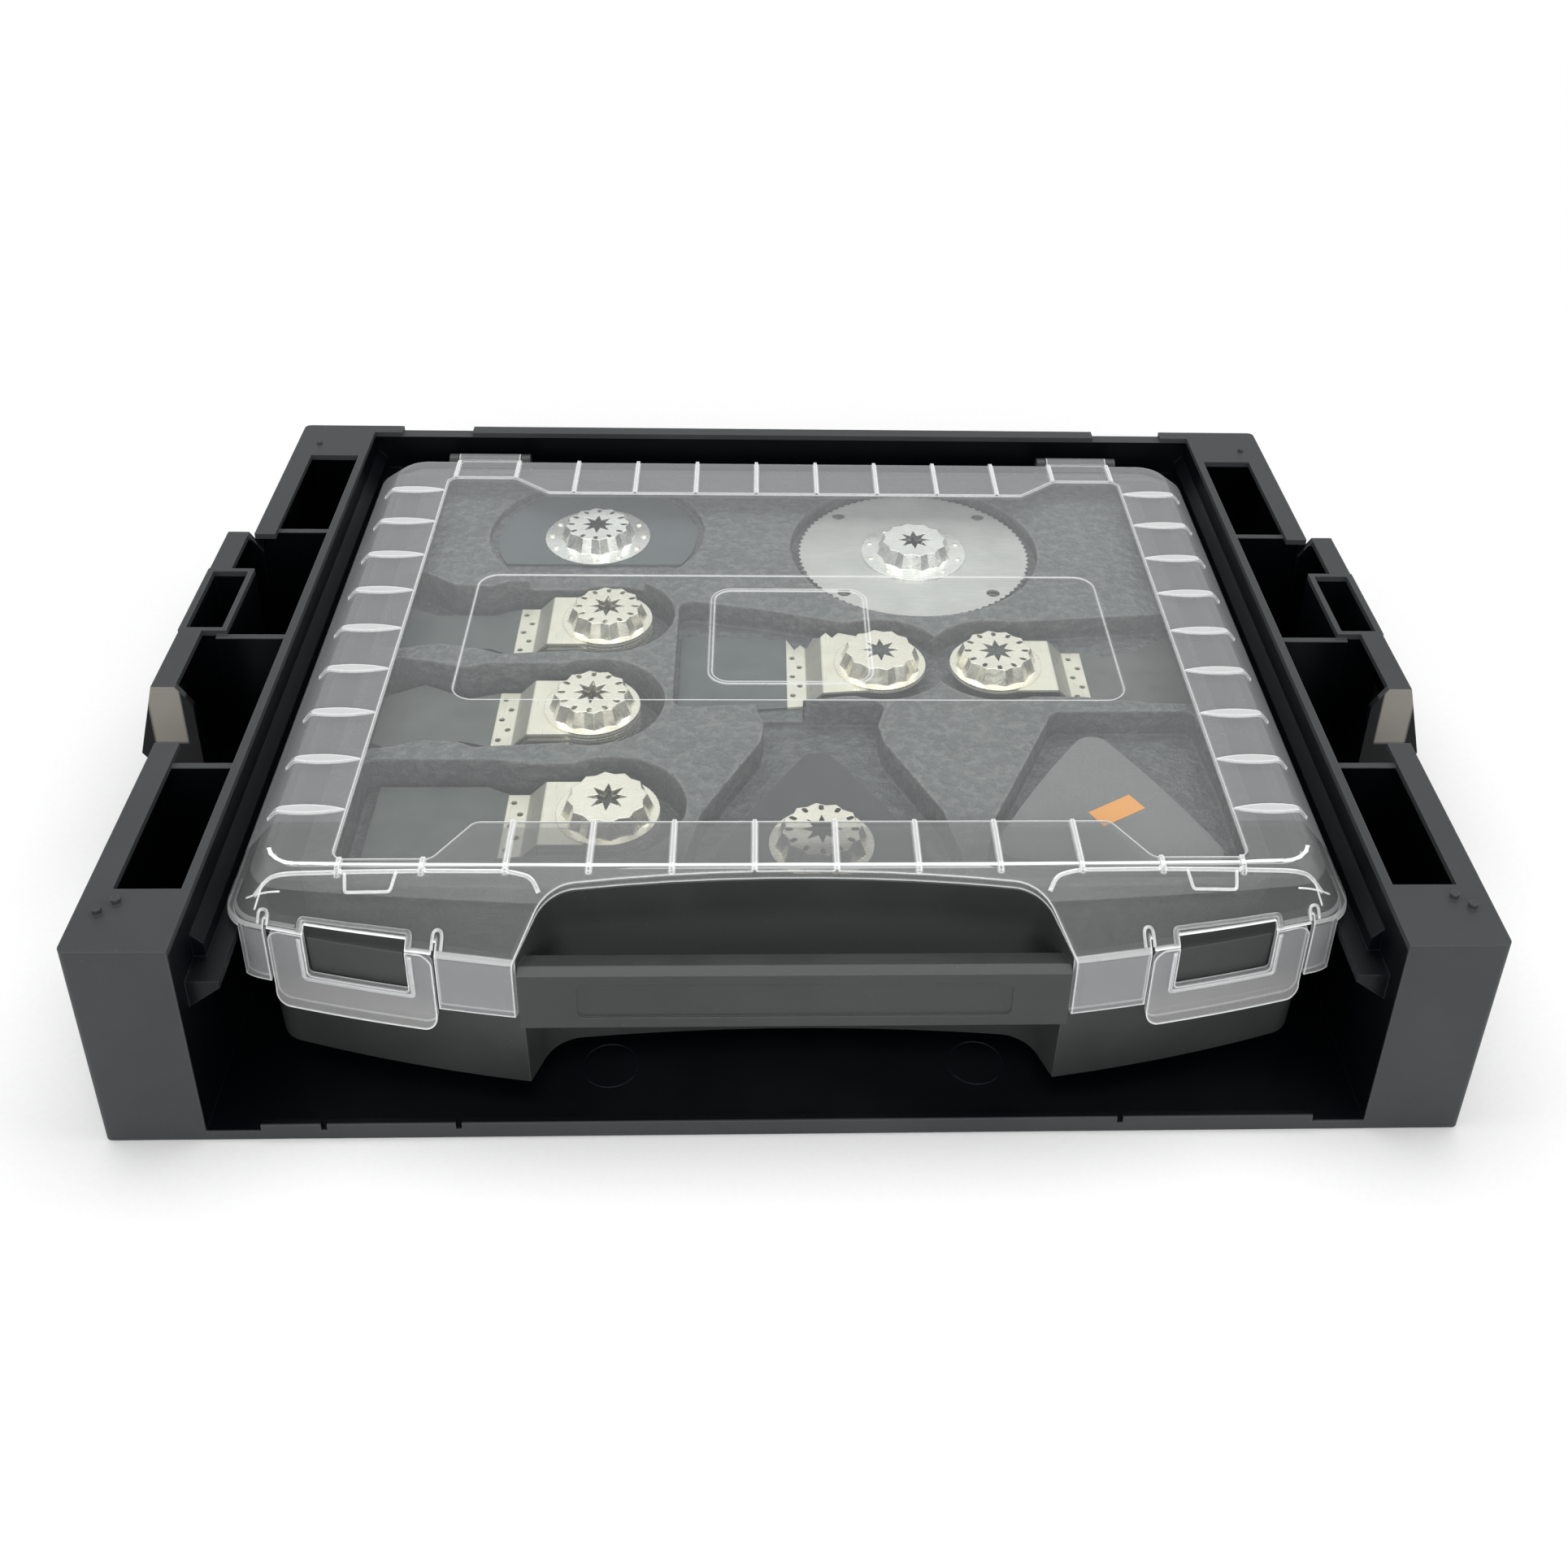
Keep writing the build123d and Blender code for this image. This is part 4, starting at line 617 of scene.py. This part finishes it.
def lid_marks(rim):
    """Raised marks on the lid, brows over its windows and slits, and the frames on the two tabs."""
    lid = finder("case_lid")
    down, inward = from_above(90.0), from_front(-200.0)
    shoulder = [
        (-172.5, -134.0), (-168.5, -130.4), (-120.0, -130.3), (-92.0, -130.6), (-84.5, -132.5),
        (-81.8, -137.5),
    ]
    marks = {
        "bracket": ([(-144.0, -130.2), (-143.3, -135.6), (-129.0, -135.9), (-127.6, -130.2)], 1.2, 1.0),
        "cross_upright": ([(-169.9, -131.0), (-171.8, -137.6)], 0.7, 0.9),
        "cross_bar": ([(-175.2, -133.6), (-164.0, -134.2)], 0.7, 0.9),
        "shoulder": (shoulder, 1.6, 5.0),
    }
    window = [(121.2, 66.6), (121.2, 69.2), (156.8, 69.2), (156.8, 66.6)]
    opening = [(157.0, 64.6), (157.0, 47.6), (121.0, 47.6), (121.0, 64.6)]
    for side, sign in (("left", 1), ("right", -1)):
        for name, (corners, width, radius) in marks.items():
            path = round_path([(sign * x, y) for x, y in corners], radius)
            places = seat(lid, path, down)
            bead(f"lid_{name}_{side}", places, rim, "lid", width, height=0.35)
        path = round_path([(-sign * x, z) for x, z in window], 2.2, step=0.9)
        places = seat(lid, path, inward)
        bead(f"window_brow_{side}", places, rim, "lid", width=1.7, height=0.7)
        for spot, x in (("inner", 112.5), ("outer", 168.9)):
            arch = [(x - 1.5, 66.8), (x - 1.5, 69.9), (x + 1.5, 69.9), (x + 1.5, 66.8)]
            path = round_path([(-sign * a, z) for a, z in arch], 1.6, step=0.6)
            places = seat(lid, path, inward)
            bead(f"slit_brow_{spot}_{side}", places, rim, "lid", width=1.1, height=0.5)
        tab = finder("latch_tab_" + side)
        path = round_path([(-sign * x, z) for x, z in opening], 1.2, step=0.9)
        places = seat(tab, path, inward)
        body = "latch_" + side
        bead(f"window_frame_{side}", places, rim, body, width=1.5, height=0.55)


def ring_of(center, radius, count, start=0.0):
    """Evenly spaced places on a circle, in mm."""
    return [
        (center[0] + radius * math.cos(start + 2 * math.pi * k / count),
         center[1] + radius * math.sin(start + 2 * math.pi * k / count))
        for k in range(count)
    ]


def small_marks(rack, steel):
    """Ejector rings on the rack floor, rear register pins and rivet heads of the round blade."""
    floor = finder("rack_frame")
    for side, x in (("left", -61.3), ("right", 62.0)):
        path = [Vector(c) for c in ring_of((x, -142.8), radius=9.3, count=72)]
        places = seat(floor, path, from_above(50.0))
        name = "floor_ring_" + side
        bead(name, places, rack, "rack", width=0.6, height=0.18, closed=True)
    pins = [(-211.0, 151.0), (211.0, 151.0)]
    studs("rear_pins", "rack_frame", pins, rack, "rack", radius=1.2, height=1.6)
    rivets = ring_of((54.5, 83.5), radius=19.6, count=10, start=0.3)
    studs(
        "round_mount_rivets", "round_blade_mounts", rivets, steel, "case",
        radius=1.25, height=0.5,
    )


# ---------------------------------------------------------------- light and floor
def area_lamp(name, place, target, size, power):
    """Rectangular lamp that faces its target."""
    data = bpy.data.lights.new(name, "AREA")
    data.shape = "RECTANGLE"
    data.size, data.size_y = size
    data.energy = power
    lamp = bpy.data.objects.new(name, data)
    scene.collection.objects.link(lamp)
    lamp.location = place
    aim = Vector(target) - Vector(place)
    lamp.rotation_euler = aim.to_track_quat("-Z", "Y").to_euler()


def make_light():
    """Four soft lamps, and a world that looks white but fills the shadows only weakly."""
    for name, place, target, size, power in (
        ("soft_top", (0.0, 0.35, 1.9), (0, 0, 0), (2.6, 1.4), 30.0),
        ("soft_front", (0.0, -2.1, 1.0), (0, 0, 0.03), (2.8, 1.0), 32.0),
        ("soft_left", (-2.0, -0.4, 0.9), (0, 0, 0.05), (1.2, 1.2), 7.0),
        ("soft_right", (2.0, -0.2, 0.9), (0, 0, 0.05), (1.2, 1.2), 7.0),
    ):
        area_lamp(name, place, target, size, power)
    world = bpy.data.worlds.new("studio")
    scene.world = world
    t = Tree(world)
    fill = t.add("Background", {"Color": rgb(1, 1, 1), "Strength": 0.34})
    seen = t.add("Background", {"Color": rgb(1, 1, 1), "Strength": 1.0})
    path = t.add("LightPath")
    rays = ("Is Camera Ray", "Is Transmission Ray", "Is Glossy Ray")
    direct = t.largest(*[path.outputs[ray] for ray in rays])
    mixed = t.add("MixShader", {0: direct, 1: fill.outputs[0], 2: seen.outputs[0]})
    t.add("OutputWorld", {"Surface": mixed.outputs[0]})
    scene.view_settings.view_transform = "Standard"


def make_floor():
    """Pale floor: it takes the object's shadow close by and fades to the plain background."""
    mesh = bpy.data.meshes.new("floor")
    build = bmesh.new()
    bmesh.ops.create_grid(build, x_segments=24, y_segments=24, size=6.0)
    build.to_mesh(mesh)
    build.free()
    floor = bpy.data.objects.new("floor", mesh)
    scene.collection.objects.link(floor)
    floor.location = (0, 0, -0.0002)  # just clear of the rack's underside
    material, t = new_material("pale_floor")
    place = t.object_place()
    away = t.add("VectorMath", {0: place}, operation="LENGTH").outputs["Value"]
    fade = t.remap(away, 0.30, 0.75)
    fibre = t.noise(place, 500.0, 3.0, 0.6)
    shade = t.mix(t.remap(fibre, 0.3, 0.7), rgb(0.88, 0.88, 0.88), rgb(0.90, 0.90, 0.90))
    matt = t.add("BsdfPrincipled", {"Base Color": shade, "Roughness": 0.9})
    plain = t.add("Emission", {"Color": rgb(1, 1, 1), "Strength": 1.0})
    path = t.add("LightPath")
    sight = t.times(path.outputs["Is Camera Ray"], fade)
    mixed = t.add("MixShader", {0: sight, 1: matt.outputs[0], 2: plain.outputs[0]})
    t.out(mixed.outputs[0])
    floor.data.materials.append(material)


make_camera()
make_light()
make_floor()
looks = dress_all()
lid_marks(looks["clear"])
small_marks(looks["rack"], looks["steel"])
